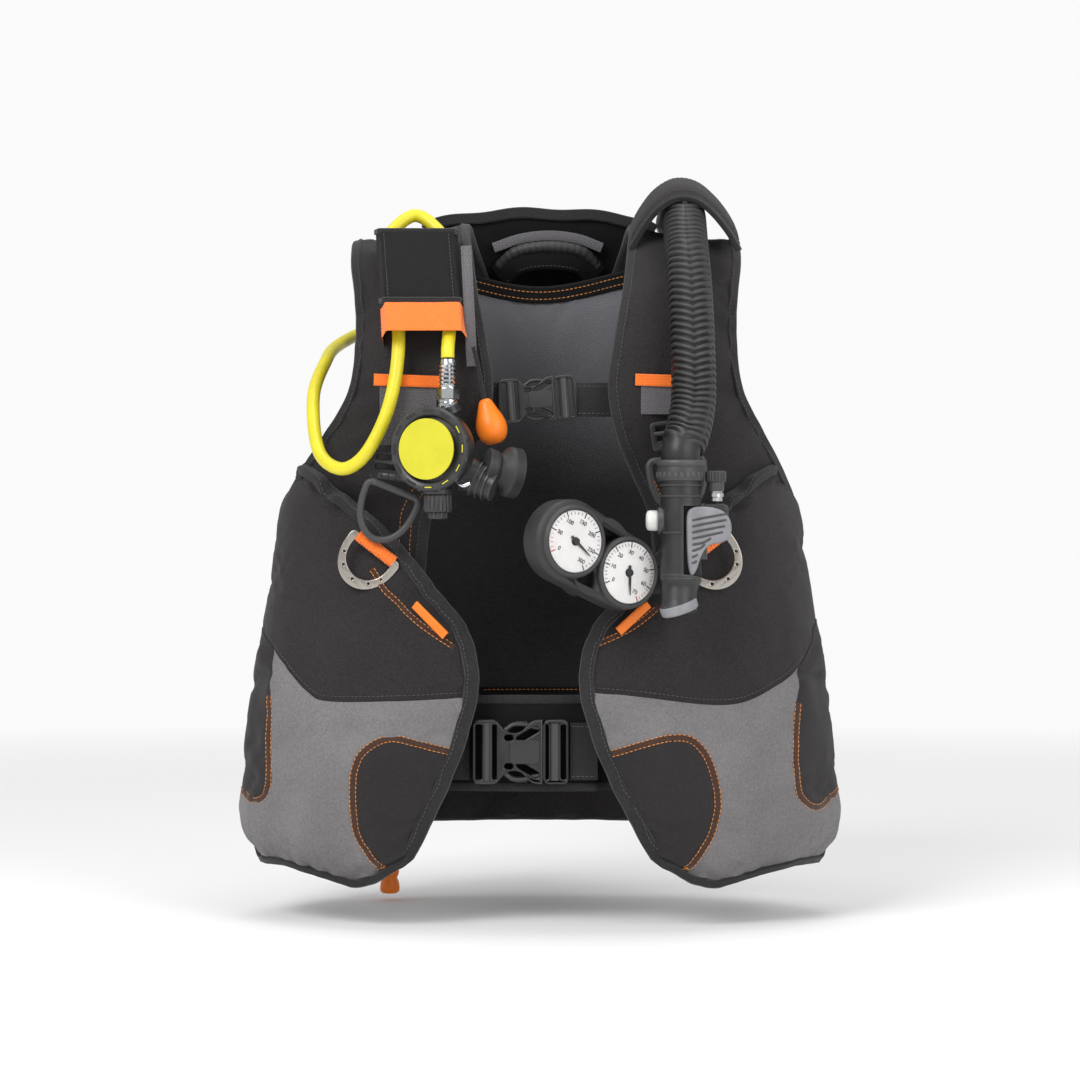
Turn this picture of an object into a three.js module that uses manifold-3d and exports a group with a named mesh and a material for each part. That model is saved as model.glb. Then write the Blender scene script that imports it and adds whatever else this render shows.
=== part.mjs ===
// A jacket-style buoyancy compensator vest with its inflator, octopus regulator and gauge console.
// Millimetres, +Z up, +X to the wearer's left, -Y the way the wearer faces.
// The origin is the middle of the flat face on the back plate that bears on the cylinder.
import * as THREE from 'three';
import { mergeVertices } from 'three/addons/utils/BufferGeometryUtils.js';
import Module from 'manifold-3d';

const wasm = await Module();
wasm.setup();

// ---- driving dimensions ----
const BODY_Y = -155;            // the upright line through the middle of the wearer's chest
const LOBE_TOP = 46;
const LOBE_THICK = 22;
const POCKET_THICK = 12;
const YOKE_THICK = 10;
const WEBBING = 38;             // width of the shoulder webbing
const CYLINDER_R = 92;          // an 11 litre aluminium cylinder
const HOSE_R = 6;
const CORRUGATED_R = 19.5;
const GAP = 0.6;
const RAD = Math.PI / 180;

// Half width and half depth of the outer skin at each height.
const HALF_WIDTH = [[-320, 244], [-270, 260], [-200, 258], [-90, 247], [0, 231], [60, 216]];
const HALF_DEPTH = [[-320, 128], [-200, 138], [-90, 132], [0, 125], [60, 115]];
// How far the front edge of a lobe stands from the middle at each height.
const LOBE_EDGE = [[-300, 106], [-264, 85], [-231, 67], [-191, 49], [-156, 38], [-135, 35],
  [-109, 39], [-88, 49], [-67, 70], [-43, 91], [-18, 116], [-5, 133], [46, 205]];
const LOBE_BOTTOM = [
  [0, -285], [0.12, -306], [0.22, -312], [0.38, -303], [0.55, -296], [0.8, -297], [1, -282],
];
const LOBE_EDGE_SHIFT = 19;     // the wearer's right lobe opens this much wider
// The yoke from the back, over the shoulder and down the chest: [y, z] of its outer face.
const YOKE_PROFILE = [[-52, 200], [-62, 222], [-90, 241], [-130, 247], [-170, 241], [-205, 221],
  [-232, 190], [-248, 150], [-254, 110], [-253, 70], [-246, 35], [-240, 8]];
const YOKE_INNER = [60, 66, 74, 78, 79, 76, 71, 64, 59, 66, 80, 92];
const YOKE_OUTER = [165, 168, 172, 173, 173, 172, 168, 167, 172, 193, 212, 222];

// ---- small helpers ----
const v3 = (x, y, z) => new THREE.Vector3(x, y, z);
const lerp = (a, b, t) => a + (b - a) * t;
const clamp = (x, a, b) => Math.min(b, Math.max(a, x));
const ease = (t) => clamp(t, 0, 1) ** 2 * (3 - 2 * clamp(t, 0, 1));

// Reads a table of [x, y] pairs with straight lines between them.
function read(table, x) {
  if (x <= table[0][0]) return table[0][1];
  for (let i = 1; i < table.length; i++) {
    const [x0, y0] = table[i - 1];
    const [x1, y1] = table[i];
    if (x <= x1) return lerp(y0, y1, (x - x0) / (x1 - x0));
  }
  return table[table.length - 1][1];
}

function material(colour, roughness = 0.8, metalness = 0) {
  return new THREE.MeshStandardMaterial({ color: colour, roughness, metalness });
}

const MATERIALS = {
  nylon: material(0x1b1b1c),
  grey: material(0x77777a),
  padding: material(0x38383b),
  webbing: material(0x161616),
  orange: material(0xff6a1a),
  plastic: material(0x141415, 0.45),
  rubber: material(0x1e1e1f, 0.6),
  greyPlastic: material(0x6d6e72, 0.5),
  white: material(0xdedede, 0.4),
  steel: material(0xc4c2bb, 0.3, 1),
  chrome: material(0xc9ccd0, 0.15, 1),
  yellow: material(0xf2ea1c, 0.45),
  dial: material(0xe9e6e6, 0.6),
};

const vest = new THREE.Group();
vest.name = 'buoyancy_vest';

function add(name, geometry, look, parent = vest) {
  const mesh = new THREE.Mesh(geometry, MATERIALS[look]);
  mesh.name = name;
  parent.add(mesh);
  return mesh;
}

// A closed sheet: point(u, v, side) gives its outer face at side 0 and its inner face at side 1.
function sheet(point, nu, nv) {
  const positions = [];
  const index = [];
  const at = (i, j, side) => side * (nu + 1) * (nv + 1) + j * (nu + 1) + i;
  for (const side of [0, 1])
    for (let j = 0; j <= nv; j++)
      for (let i = 0; i <= nu; i++) positions.push(...point(i / nu, j / nv, side).toArray());
  const quad = (a, b, c, d) => index.push(a, b, c, a, c, d);
  for (let j = 0; j < nv; j++)
    for (let i = 0; i < nu; i++) {
      quad(at(i, j, 0), at(i + 1, j, 0), at(i + 1, j + 1, 0), at(i, j + 1, 0));
      quad(at(i, j, 1), at(i, j + 1, 1), at(i + 1, j + 1, 1), at(i + 1, j, 1));
    }
  for (let i = 0; i < nu; i++) {
    quad(at(i, 0, 0), at(i, 0, 1), at(i + 1, 0, 1), at(i + 1, 0, 0));
    quad(at(i + 1, nv, 0), at(i + 1, nv, 1), at(i, nv, 1), at(i, nv, 0));
  }
  for (let j = 0; j < nv; j++) {
    quad(at(0, j + 1, 0), at(0, j + 1, 1), at(0, j, 1), at(0, j, 0));
    quad(at(nu, j, 0), at(nu, j, 1), at(nu, j + 1, 1), at(nu, j + 1, 0));
  }
  const geometry = new THREE.BufferGeometry();
  geometry.setAttribute('position', new THREE.Float32BufferAttribute(positions, 3));
  geometry.setIndex(index);
  return facingOut(geometry);
}

// Turns the faces over if the closed geometry is inside out.
function facingOut(geometry) {
  const p = geometry.getAttribute('position');
  const ix = geometry.index.array;
  let volume = 0;
  const a = v3(), b = v3(), c = v3();
  for (let i = 0; i < ix.length; i += 3) {
    a.fromBufferAttribute(p, ix[i]);
    b.fromBufferAttribute(p, ix[i + 1]);
    c.fromBufferAttribute(p, ix[i + 2]);
    volume += a.dot(b.cross(c));
  }
  if (volume < 0)
    for (let i = 0; i < ix.length; i += 3) [ix[i + 1], ix[i + 2]] = [ix[i + 2], ix[i + 1]];
  return geometry;
}

function toSolid(geometry) {
  const bare = new THREE.BufferGeometry();
  const loose = geometry.index ? geometry.toNonIndexed() : geometry;
  bare.setAttribute('position', loose.getAttribute('position').clone());
  const merged = mergeVertices(bare, 1e-3);
  return new wasm.Manifold(new wasm.Mesh({
    numProp: 3,
    vertProperties: merged.getAttribute('position').array,
    triVerts: new Uint32Array(merged.index.array),
  }));
}

function fromSolid(solid) {
  const mesh = solid.getMesh();
  const geometry = new THREE.BufferGeometry();
  geometry.setAttribute('position', new THREE.BufferAttribute(new Float32Array(mesh.vertProperties), 3));
  geometry.setIndex(new THREE.BufferAttribute(new Uint32Array(mesh.triVerts), 1));
  return geometry;
}

const join = (...parts) => fromSolid(parts.map(toSolid).reduce((a, b) => a.add(b)));
const cut = (from, ...tools) => fromSolid(tools.map(toSolid).reduce((a, b) => a.subtract(b), toSolid(from)));

const CIRCLE = (r, sides = 12) => new THREE.Shape(
  Array.from({ length: sides }, (_, i) => new THREE.Vector2(
    r * Math.cos((2 * Math.PI * i) / sides), r * Math.sin((2 * Math.PI * i) / sides))));

// A solid round bar along a smooth curve through the points.
function tube(points, r, steps = 24, sides = 10) {
  const path = new THREE.CatmullRomCurve3(points.map((p) => v3(...p)), false, 'centripetal');
  return new THREE.ExtrudeGeometry(CIRCLE(r, sides), { steps, bevelEnabled: false, extrudePath: path });
}

// A flat strap through the points: across gives the direction of its width at each share of its length.
function strap(points, across, width, thick, steps = 12) {
  const path = new THREE.CatmullRomCurve3(points.map((p) => v3(...p)), false, 'centripetal');
  return sheet((u, v, side) => {
    const t = path.getTangentAt(v);
    const w = across(v).clone().normalize();
    const n = t.clone().cross(w).normalize();
    return path.getPointAt(v).addScaledVector(w, (u - 0.5) * width).addScaledVector(n, (0.5 - side) * thick);
  }, 1, steps);
}

// Points of an arc, both ends included.
const arc = (x, y, r, from, to, steps) => Array.from({ length: steps + 1 }, (_, i) => {
  const a = lerp(from, to, i / steps);
  return new THREE.Vector2(x + r * Math.cos(a), y + r * Math.sin(a));
});

// A rounded plate in the XZ plane, its front face at y = 0 and its back at y = depth.
function plate(width, height, depth, corner, holes = []) {
  const x = width / 2 - corner, z = height / 2 - corner;
  const s = new THREE.Shape([[x, -z], [x, z], [-x, z], [-x, -z]].flatMap(([cx, cz], i) =>
    arc(cx, cz, corner, (i - 1) * Math.PI / 2, i * Math.PI / 2, 4)));
  const whole = new THREE.ExtrudeGeometry(s, { depth, bevelEnabled: false }).rotateX(Math.PI / 2)
    .translate(0, depth, 0);
  return holes.length
    ? cut(whole, ...holes.map(([hx, hz, w, h]) => box(hx, depth / 2, hz, w, depth + 2, h)))
    : whole;
}

const box = (x, y, z, w, d, h) => new THREE.BoxGeometry(w, d, h).translate(x, y, z);

// A round bar from a to b.
function rod(a, b, r, sides = 16, r2 = r) {
  const from = v3(...a), to = v3(...b);
  const g = new THREE.CylinderGeometry(r2, r, from.distanceTo(to), sides);
  const turn = new THREE.Quaternion().setFromUnitVectors(v3(0, 1, 0), to.clone().sub(from).normalize());
  return g.applyQuaternion(turn).translate(...from.add(to).multiplyScalar(0.5).toArray());
}

// ---- soft shell ----
// A point on the vest's skin: theta is 0 at the front, 90 degrees at the wearer's left side.
function skin(theta, z, inset = 0) {
  const w = read(HALF_WIDTH, z) - inset;
  const d = read(HALF_DEPTH, z) - inset;
  return v3(w * Math.sin(theta), BODY_Y - d * Math.cos(theta), z);
}

const lobeEdge = (z, side) => {
  const x = read(LOBE_EDGE, z);
  return side > 0 ? x : x + LOBE_EDGE_SHIFT * (1 - (x - 35) / 225);
};

// The angle at which the skin stands x from the middle.
const angleAt = (x, z) => Math.asin(clamp(x / read(HALF_WIDTH, z), -1, 1));

// A point of a front lobe: u runs from its front edge to the side seam, v from its hem to its top.
function lobePoint(side, u, v, inset, hemLift = 0, top = LOBE_TOP, seam = 98) {
  const z = lerp(read(LOBE_BOTTOM, u) + hemLift, top, v);
  const start = angleAt(lobeEdge(z, side), z);
  const theta = lerp(start, seam * RAD, u ** 1.15);
  const p = skin(theta, z, inset);
  p.x *= side;
  return p;
}

// Fabric shells are thin along their edges and full in the middle.
const fullness = (u, v) => ease(Math.min(u, 1 - u, v * 1.2, (1 - v) * 1.4) / 0.16);

function lobe(side) {
  const whole = sheet((u, v, inner) => {
    const outerFull = fullness(u, Math.min(v, 0.5));
    return lobePoint(side, u, v, inner ? lerp(15, LOBE_THICK, fullness(u, v)) : lerp(8, 0, outerFull));
  }, 12, 13);
  const yokeRoom = sheet((u, t, inner) => {
    const p = yokePoint(side, lerp(-0.06, 1.06, u), lerp(0.8, 1, t), inner ? 40 : -3.5);
    if (t === 1) p.z -= 6;
    return p;
  }, 8, 8);
  return cut(whole, pocketShape(side, -20, POCKET_THICK + 1.6, 0), yokeRoom);
}

// The pocket lies in a recess on the lower part of the lobe.
function pocketShape(side, outer, inner, shrink) {
  const FLAP_LINE = -136;
  return sheet((u, v, isInner) => {
    const uu = lerp(0.1 + shrink, 0.92 - shrink, u);
    const z = lerp(read(LOBE_BOTTOM, uu) + 14 + 250 * shrink, FLAP_LINE - 120 * shrink, v);
    const vv = (z - read(LOBE_BOTTOM, uu)) / (LOBE_TOP - read(LOBE_BOTTOM, uu));
    return lobePoint(side, uu, vv, isInner ? inner : outer);
  }, 10, 8);
}

function pocket(side) {
  return pocketShape(side, 1, POCKET_THICK, 0.02);
}

// The wearer's right yoke stands closer to the neck than the left one.
function yokeX(x, z, side) {
  return side > 0 ? x : -(x - 18 * ease(z / 90) * (1 - (x - 60) / 260));
}

const yokeCurve = new THREE.SplineCurve(YOKE_PROFILE.map((p) => new THREE.Vector2(...p)));
const listAt = (list, t) => {
  const i = Math.min(list.length - 2, Math.floor(t * (list.length - 1)));
  return lerp(list[i], list[i + 1], t * (list.length - 1) - i);
};

// A point on a shoulder yoke: u from the neck edge to the arm edge, t from the back down to the chest.
function yokePoint(side, u, t, inset = 0) {
  const p = yokeCurve.getPoint(t);
  const tangent = yokeCurve.getTangent(t);
  const x = lerp(listAt(YOKE_INNER, t), listAt(YOKE_OUTER, t), u);
  const around = (Math.sqrt(1 - 0.24) - Math.sqrt(Math.max(0.02, 1 - (x / 226) ** 2))) * 118;
  const onChest = ease((t - 0.3) / 0.3);
  const onTop = ease(1 - Math.abs(t - 0.28) / 0.25);
  const edge = 1 - ease(Math.min(u, 1 - u) / 0.12);
  const y = p.x + around * onChest;
  const z = p.y + onTop * 15 * (1 - u) ** 2;
  const depth = inset ? inset - 2 * edge : 2 * edge;
  return v3(yokeX(x, z, side), y + tangent.y * -depth, z + tangent.x * depth);
}

function yoke(side) {
  return sheet((u, t, inner) => yokePoint(side, u, t, inner ? YOKE_THICK : 0), 5, 22);
}

const BACK_LOW = -272;
const BACK_HIGH = 190;
// Half width of the back of the vest: full at the waist, cut away at the arm holes.
const BACK_HALF = [
  [-272, 246], [-200, 254], [-90, 243], [0, 227], [40, 213], [62, 196], [85, 182], [120, 171], [190, 164],
];

function backPoint(u, z, inset) {
  const w = read(HALF_WIDTH, z);
  const open = z > 44 ? Math.asin(Math.min(1, read(BACK_HALF, z) / w)) : 98.6 * RAD;
  const half = z > 44 ? open : Math.PI - 98.6 * RAD;
  const theta = Math.PI + lerp(-1, 1, u) * (z > 44 ? Math.min(half, Math.PI - 98.6 * RAD) : half);
  return skin(theta, z, inset);
}

add('back_bladder', sheet((u, v, inner) => {
  const full = fullness(u, v);
  return backPoint(u, lerp(BACK_LOW, BACK_HIGH, v), inner ? lerp(18, 26, full) : lerp(4, 0, full));
}, 14, 10), 'nylon');

add('back_pad', sheet((u, v, inner) => {
  const z = lerp(-205, 192, v);
  const half = lerp(52, 38, ease((z + 60) / 200)) * RAD;
  return skin(Math.PI + lerp(-1, 1, u) * half, z, inner ? 62 : 46);
}, 8, 8), 'padding');

// The collar closes the neck between the two yokes.
add('collar', sheet((u, v, inner) => {
  const x = lerp(-39, 56, u);
  const z = lerp(199, 268 - 3 * Math.sin(Math.PI * u), v);
  return v3(x, -48 - 20 * ease((z - 199) / 70) - (inner ? 9 : 0), z);
}, 6, 5), 'nylon');

for (const [name, side] of [['right', -1], ['left', 1]]) {
  add(name + '_lobe', lobe(side), 'nylon');
  add(name + '_pocket', pocket(side), 'grey');
  add(name + '_shoulder_yoke', yoke(side), 'nylon');
}

// The cummerbund wraps the waist and closes over itself in front.
add('cummerbund', sheet((u, v, inner) => {
  const theta = lerp(-12, 372, u) * RAD;
  const inset = lerp(40, 31, u) + (inner ? 4 : 0);
  return skin(theta, lerp(-229, -150, v), inset);
}, 44, 1), 'nylon');

// Where the chest face of a yoke stands, x across and z up, for what is fastened to it.
const YOKE_FRONT = [[5, -240], [35, -246], [70, -253], [110, -254], [150, -248], [190, -232], [221, -205]];
const chestY = (x, z) => read(YOKE_FRONT, z)
  + (Math.sqrt(1 - 0.24) - Math.sqrt(Math.max(0.02, 1 - (x / 226) ** 2))) * 118;

// ---- back plate and tank band ----
const BAND = { z: -20, width: 50, thick: 2.6, slotX: 72.3 };
const PLATE = { width: 172, height: 300, front: -15, back: -4 };

function backPlate() {
  const body = plate(PLATE.width, PLATE.height, PLATE.back - PLATE.front, 26,
    [[-BAND.slotX, BAND.z + 10, 7, BAND.width + 3], [BAND.slotX, BAND.z + 10, 7, BAND.width + 3]])
    .translate(0, PLATE.front, -10);
  const seat = plate(60, 130, 4.5, 10).translate(0, PLATE.back - 0.5, 0);
  const ribs = [-1, 1].map((s) => plate(13, 220, 15.5, 5).translate(s * 53, PLATE.back - 0.5, -10));
  return join(body, seat, ...ribs);
}

// The band runs through both slots, in front of the plate and round the cylinder.
function bandOutline(grow) {
  const r = CYLINDER_R + 1 + grow;
  const x = BAND.slotX - 1.3 + grow;
  const turn = 30 * RAD;
  return [new THREE.Vector2(-x, -15.4 - grow), new THREE.Vector2(x, -15.4 - grow),
    ...arc(0, CYLINDER_R, r, -turn, Math.PI + turn, 30)];
}

function tankBand() {
  const s = new THREE.Shape(bandOutline(BAND.thick));
  s.holes.push(new THREE.Path(bandOutline(0)));
  const g = new THREE.ExtrudeGeometry(s, { depth: BAND.width, bevelEnabled: false });
  return g.translate(0, 0, BAND.z - BAND.width / 2);
}

const CAM_Y = 2 * CYLINDER_R + 1 + BAND.thick + 1.6;
const CAM_PIN = v3(-18, CAM_Y + 8, BAND.z);

function camFrame() {
  const base = box(0, CAM_Y + 1.5, BAND.z, 46, 3, 62);
  const ears = [-1, 1].map((s) => box(-17, CAM_Y + 6, BAND.z + s * 29, 12, 12, 4));
  return join(base, ...ears);
}

function camLever() {
  const hub = rod([CAM_PIN.x, CAM_PIN.y, BAND.z - 26.5], [CAM_PIN.x, CAM_PIN.y, BAND.z + 26.5], 4);
  const blade = box(CAM_PIN.x + 22, CAM_PIN.y + 1, BAND.z, 44, 4, 50);
  return join(hub, blade);
}

add('back_plate', backPlate(), 'plastic');
add('tank_band', tankBand(), 'webbing');
add('cam_buckle_frame', camFrame(), 'plastic');
add('cam_lever', camLever(), 'plastic');
const HANDLE_PATH = [[-36, -74, 230], [-20, -84, 242], [8, -87, 246], [36, -84, 242], [50, -74, 230]];
add('carry_handle', tube(HANDLE_PATH, 5, 16, 8),
  'rubber');

// ---- side release buckles ----
// Built lying in the XZ plane round its own middle; the male half leaves towards +X.
function buckleHalves({ width, height, thick, prong }) {
  const t = thick;
  const halfW = width / 2, seam = width * 0.23, barX = width * 0.32;
  const window = height - 12;
  const shellW = seam + halfW;
  const shellX = (seam - halfW) / 2;
  const shell = plate(shellW, height, t, 5, [
    [-barX - 5.5 - shellX, 0, 5, window], [-barX + 4.5 - shellX, 0, 5, window],
  ]).translate(shellX, -t / 2, 0);
  const cavity = box(seam - prong / 2, 0, 0, prong + 2, t - 4, height - 12);
  const female = cut(shell, cavity);
  const frameW = halfW - seam - GAP;
  const slot = frameW * 0.2;
  const windows = [[-frameW * 0.24, 0, slot, window], [frameW * 0.22, 0, slot, window]];
  const frame = plate(frameW, height, t, 4, windows)
    .translate(seam + GAP + frameW / 2, -t / 2, 0);
  const fingers = [-1, 0, 1].map((s) => box(
    seam + GAP - prong / 2 + 1, 0, s * (height / 2 - 10), prong, t - 5.4, s ? 6 : 5));
  return { female, male: join(frame, ...fingers) };
}

const WAIST = { x: -16, y: -267, z: -196 };
const waistBuckle = buckleHalves({ width: 80, height: 54, thick: 11, prong: 26 });
add('waist_buckle_female', waistBuckle.female, 'plastic').position.set(WAIST.x, WAIST.y, WAIST.z);
add('waist_buckle_male', waistBuckle.male, 'plastic').position.set(WAIST.x, WAIST.y, WAIST.z);
add('waist_strap_right', sheet((u, v, inner) => {
  const p = skin(lerp(15, 42, u) * RAD, WAIST.z + lerp(-24, 24, v), inner ? 27.6 : 25.4);
  p.x *= -1;
  return p;
}, 10, 1), 'webbing');
add('waist_strap_left', box(37, -264.4, WAIST.z, 23, 2.2, 48), 'webbing');

const STERNUM = { x: -2, y: -247.5, z: 101 };
const sternumBuckle = buckleHalves({ width: 63, height: 38, thick: 8.5, prong: 15 });
const sternum = new THREE.Group();
sternum.position.set(STERNUM.x, STERNUM.y, STERNUM.z);
vest.add(sternum);
add('sternum_buckle_female', sternumBuckle.female, 'plastic', sternum);
add('sternum_buckle_male', sternumBuckle.male, 'plastic', sternum);
add('sternum_strap_left', box(50, 2.8, 0, 34, 1.6, 29), 'webbing', sternum);
add('sternum_strap_right', box(-44, 2.8, 0, 22, 1.6, 29), 'webbing', sternum);

// ---- shoulder straps, their buckles and rings ----
// A point in front of the chest face of a yoke.
const onChest = (side, x, z, lift) => v3(side * x, chestY(x, z) - lift, z);

function shoulderStrap(side, x, top, bottom) {
  return sheet((u, v, inner) => {
    const across = x - 10 * (1 - v) + (u - 0.5) * WEBBING;
    return onChest(side, across, lerp(top, bottom, v), inner ? 1.2 : 3.6);
  }, 3, 6);
}

// A D-shaped ring hanging in the XZ plane from its bar, which lies along X through the origin.
function dRing(width, drop, bar, hoopR) {
  const hoop = arc(0, -4, 1, 0, -Math.PI, 10).map((p) => [(p.x * width) / 2, 0, -4 + (p.y + 4) * (drop - 4)]);
  const bend = [[width / 2, 0, 0], ...hoop, [-width / 2, 0, 0]];
  return join(tube(bend, hoopR, 18, 6), rod([-width / 2 - hoopR, 0, 0], [width / 2 + hoopR, 0, 0], bar, 10));
}

const SHOULDER = {
  right: { side: -1, strapX: 116, strapTop: 112, strapLow: 62, buckle: [-121, -263, 44],
    ring: [-122, -276.5, 24], tilt: 22, steelY: -266.8 },
  left: { side: 1, strapX: 114, strapTop: 112, strapLow: 88, buckle: [115, -268, 71],
    ring: [114, -268, 50], tilt: 5, steelY: -270 },
};
const STEEL = { x: 138, z: -25, tilt: 38, bar: 2.2, bore: 3, sleeve: 5.5 };

for (const [name, s] of Object.entries(SHOULDER)) {
  add(name + '_shoulder_strap', shoulderStrap(s.side, s.strapX, s.strapTop, s.strapLow), 'grey');
  add(name + '_shoulder_buckle', plate(46, 26, 6, 4, [[0, 5, 36, 5], [0, -5, 36, 5]])
    .rotateY(s.side * 8 * RAD).translate(...s.buckle), 'plastic');
  const plastic = add(name + '_plastic_d_ring', dRing(46, 44, 2.6, 2.6), 'plastic');
  plastic.position.set(...s.ring);
  plastic.rotation.y = -s.side * s.tilt * RAD;
  const steel = new THREE.Group();
  steel.position.set(s.side * STEEL.x, s.steelY, STEEL.z);
  steel.rotation.y = -s.side * STEEL.tilt * RAD;
  vest.add(steel);
  add(name + '_steel_d_ring', dRing(48, 36, STEEL.bar, 2.4), 'steel', steel);
  add(name + '_ring_sleeve', cut(rod([-19, 0, 0], [19, 0, 0], STEEL.sleeve, 14),
    rod([-30, 0, 0], [30, 0, 0], STEEL.bore, 14)),
    'orange', steel);
}

// ---- corrugated hose and inflator ----
const SWING = v3(125, -213, 246);       // the bend where the hanging hose swings forward
const HOSE_END = v3(116, -315, 49.5);

const elbow = tube([[125, -44, 160], [125, -30, 166], [125, -21, 196], [125, -27, 236], [125, -52, 264],
  [125, -78, 271]], 15, 16, 10);
const shoulderRun = tube([[125, -74, 270.5], [125, -110, 273], [125, -150, 271], [125, -185, 262],
  [125, -199, 255]], CORRUGATED_R - 0.5, 14, 12);
add('shoulder_hose_run', join(rod([125, -49.5, 158], [125, -40, 158], 25, 20), elbow, shoulderRun), 'rubber');

const hangingHose = tube([[125, -217, 241], [126, -240, 216], [127, -256, 190], [128, -272, 150],
  [128, -288, 100], [122, -305, 70], [116.4, -314, 57], HOSE_END.toArray()], CORRUGATED_R - 0.5, 26, 12);
const hoseBall = new THREE.SphereGeometry(13, 12, 8).translate(...SWING.toArray());
add('corrugated_hose', join(hangingHose, hoseBall), 'rubber');

// The strap over the shoulder that holds the hose down.
add('hose_over_strap', strap([[88, -165, 259], [98, -165, 273], [106, -165, 286], [125, -165, 293.5],
  [144, -165, 286], [153, -165, 268], [160, -165, 252]], () => v3(0, 1, 0), 34, 2.2, 24), 'nylon');

const INFLATOR = v3(116, -318, 0);
const LEVER = { x0: 121, x1: 157, y0: -334, y1: -324, z0: -47, z1: 9 };
const BUTTON = { z: -2, r: 6.6, x0: 90.5, x1: 97.8 };
const NIPPLE_X = 145;

function inflatorBody() {
  const { x, y } = INFLATOR;
  const clampRing = rod([x, -315, HOSE_END.z - 4], [x, -315, 33], 19.8, 20);
  const barrel = rod([x, -315.5, 36], [x, y - 1, -50], 17, 24);
  const mouth = rod([x, y - 1, -46], [x + 2, y - 5, -80], 16, 24);
  const boss = rod([x, y, BUTTON.z], [97.5, y, BUTTON.z], 9, 20);
  const arm = box(NIPPLE_X - 10, -314.5, 1, 36, 12, 22);
  const whole = join(clampRing, barrel, mouth, boss, arm);
  return cut(whole,
    box(LEVER.x0 + 24, LEVER.y1 - 15, -19, 50, 38, 62),
    rod([101.5, y, BUTTON.z], [80, y, BUTTON.z], BUTTON.r + 0.5, 20),
    box(0, 0, -20, 80, 80, 40).rotateY(-20 * RAD).translate(x, y, -70));
}

add('inflator_body', inflatorBody(), 'greyPlastic');
add('quick_connect_nipple', join(
  rod([NIPPLE_X, -314.5, 12.6], [NIPPLE_X, -314.5, 31], 5.5, 16),
  rod([NIPPLE_X, -314.5, 30], [NIPPLE_X, -314.5, 39], 8.5, 20)), 'chrome');

function inflateLever() {
  const outline = [[LEVER.x0, LEVER.z0 + 30], [LEVER.x0 + 3, LEVER.z0 + 14], [LEVER.x0 + 8, LEVER.z0],
    [LEVER.x0 + 13, LEVER.z0 + 14], [LEVER.x0 + 22, LEVER.z0 + 26], [LEVER.x1 - 5, LEVER.z0 + 33],
    [LEVER.x1, LEVER.z0 + 42], [LEVER.x1 - 2, LEVER.z1 - 5], [LEVER.x1 - 8, LEVER.z1],
    [LEVER.x0 + 6, LEVER.z1], [LEVER.x0, LEVER.z1 - 6]].map(([x, z]) => new THREE.Vector2(x, z));
  const depth = LEVER.y1 - LEVER.y0;
  return new THREE.ExtrudeGeometry(new THREE.Shape(outline), { depth, bevelEnabled: false })
    .rotateX(Math.PI / 2).translate(0, LEVER.y1, 0);
}
add('inflate_lever', inflateLever(), 'greyPlastic');
add('deflate_button', rod([BUTTON.x1, INFLATOR.y, BUTTON.z], [BUTTON.x0, INFLATOR.y, BUTTON.z], BUTTON.r, 20),
  'white');

// ---- octopus regulator on its yellow hose ----
const regulator = new THREE.Group();
regulator.position.set(-84, -298, 57);
regulator.rotation.z = -25 * RAD;
vest.add(regulator);
const CASE_R = 33;
const PURGE = { r: 26.5, front: -21.5, back: -19, floor: -15.5 };

add('regulator_case', cut(
  join(rod([0, 14, 0], [0, -14.5, 0], CASE_R, 32), rod([0, -14, 0], [0, -19.5, 0], CASE_R + 2, 32)),
  rod([0, PURGE.floor, 0], [0, -30, 0], PURGE.r + 0.7, 32)), 'plastic', regulator);
add('purge_cover', rod([0, PURGE.back, 0], [0, PURGE.front, 0], PURGE.r, 32), 'yellow', regulator);
const knobBody = rod([0, -2, -36], [0, -2, -52], 11.5, 20);
const knobTip = rod([0, -2, -51], [0, -2, -57], 8, 20);
add('cracking_adjust_knob', join(knobBody, knobTip),
  'plastic', regulator);
const mouthNeck = rod([38, 14, -14], [46, 25, -17], 12, 16);
const mouthFlare = rod([45, 24, -16.6], [52, 33, -19], 15, 16);
add('regulator_mouthpiece', join(mouthNeck, mouthFlare),
  'rubber', regulator);
add('octopus_hose_fitting', join(
  rod([-77, -287, 92.5], [-77, -286.5, 108], 8.5, 6),
  rod([-77, -286.5, 107], [-77, -286, 132], 6.8, 16)), 'chrome');
const OCTOPUS_PATH = [
  [-30, 14, 215], [-95, 6, 205], [-150, -20, 180], [-182, -80, 158], [-190, -140, 138],
  [-196, -195, 105], [-188, -242, 58], [-168, -264, 42], [-148, -274, 52], [-131, -275, 82],
  [-122, -272, 115], [-119, -263, 150], [-121, -250, 182], [-126, -232, 215], [-124, -208, 242],
  [-107, -196, 262], [-86, -206, 250], [-77, -228, 225], [-75, -250, 190], [-76, -269, 160],
  [-77, -284, 142], [-77, -286, 134],
];
add('octopus_hose', tube(OCTOPUS_PATH, HOSE_R - 0.4, 72, 6),
  'yellow');

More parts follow.
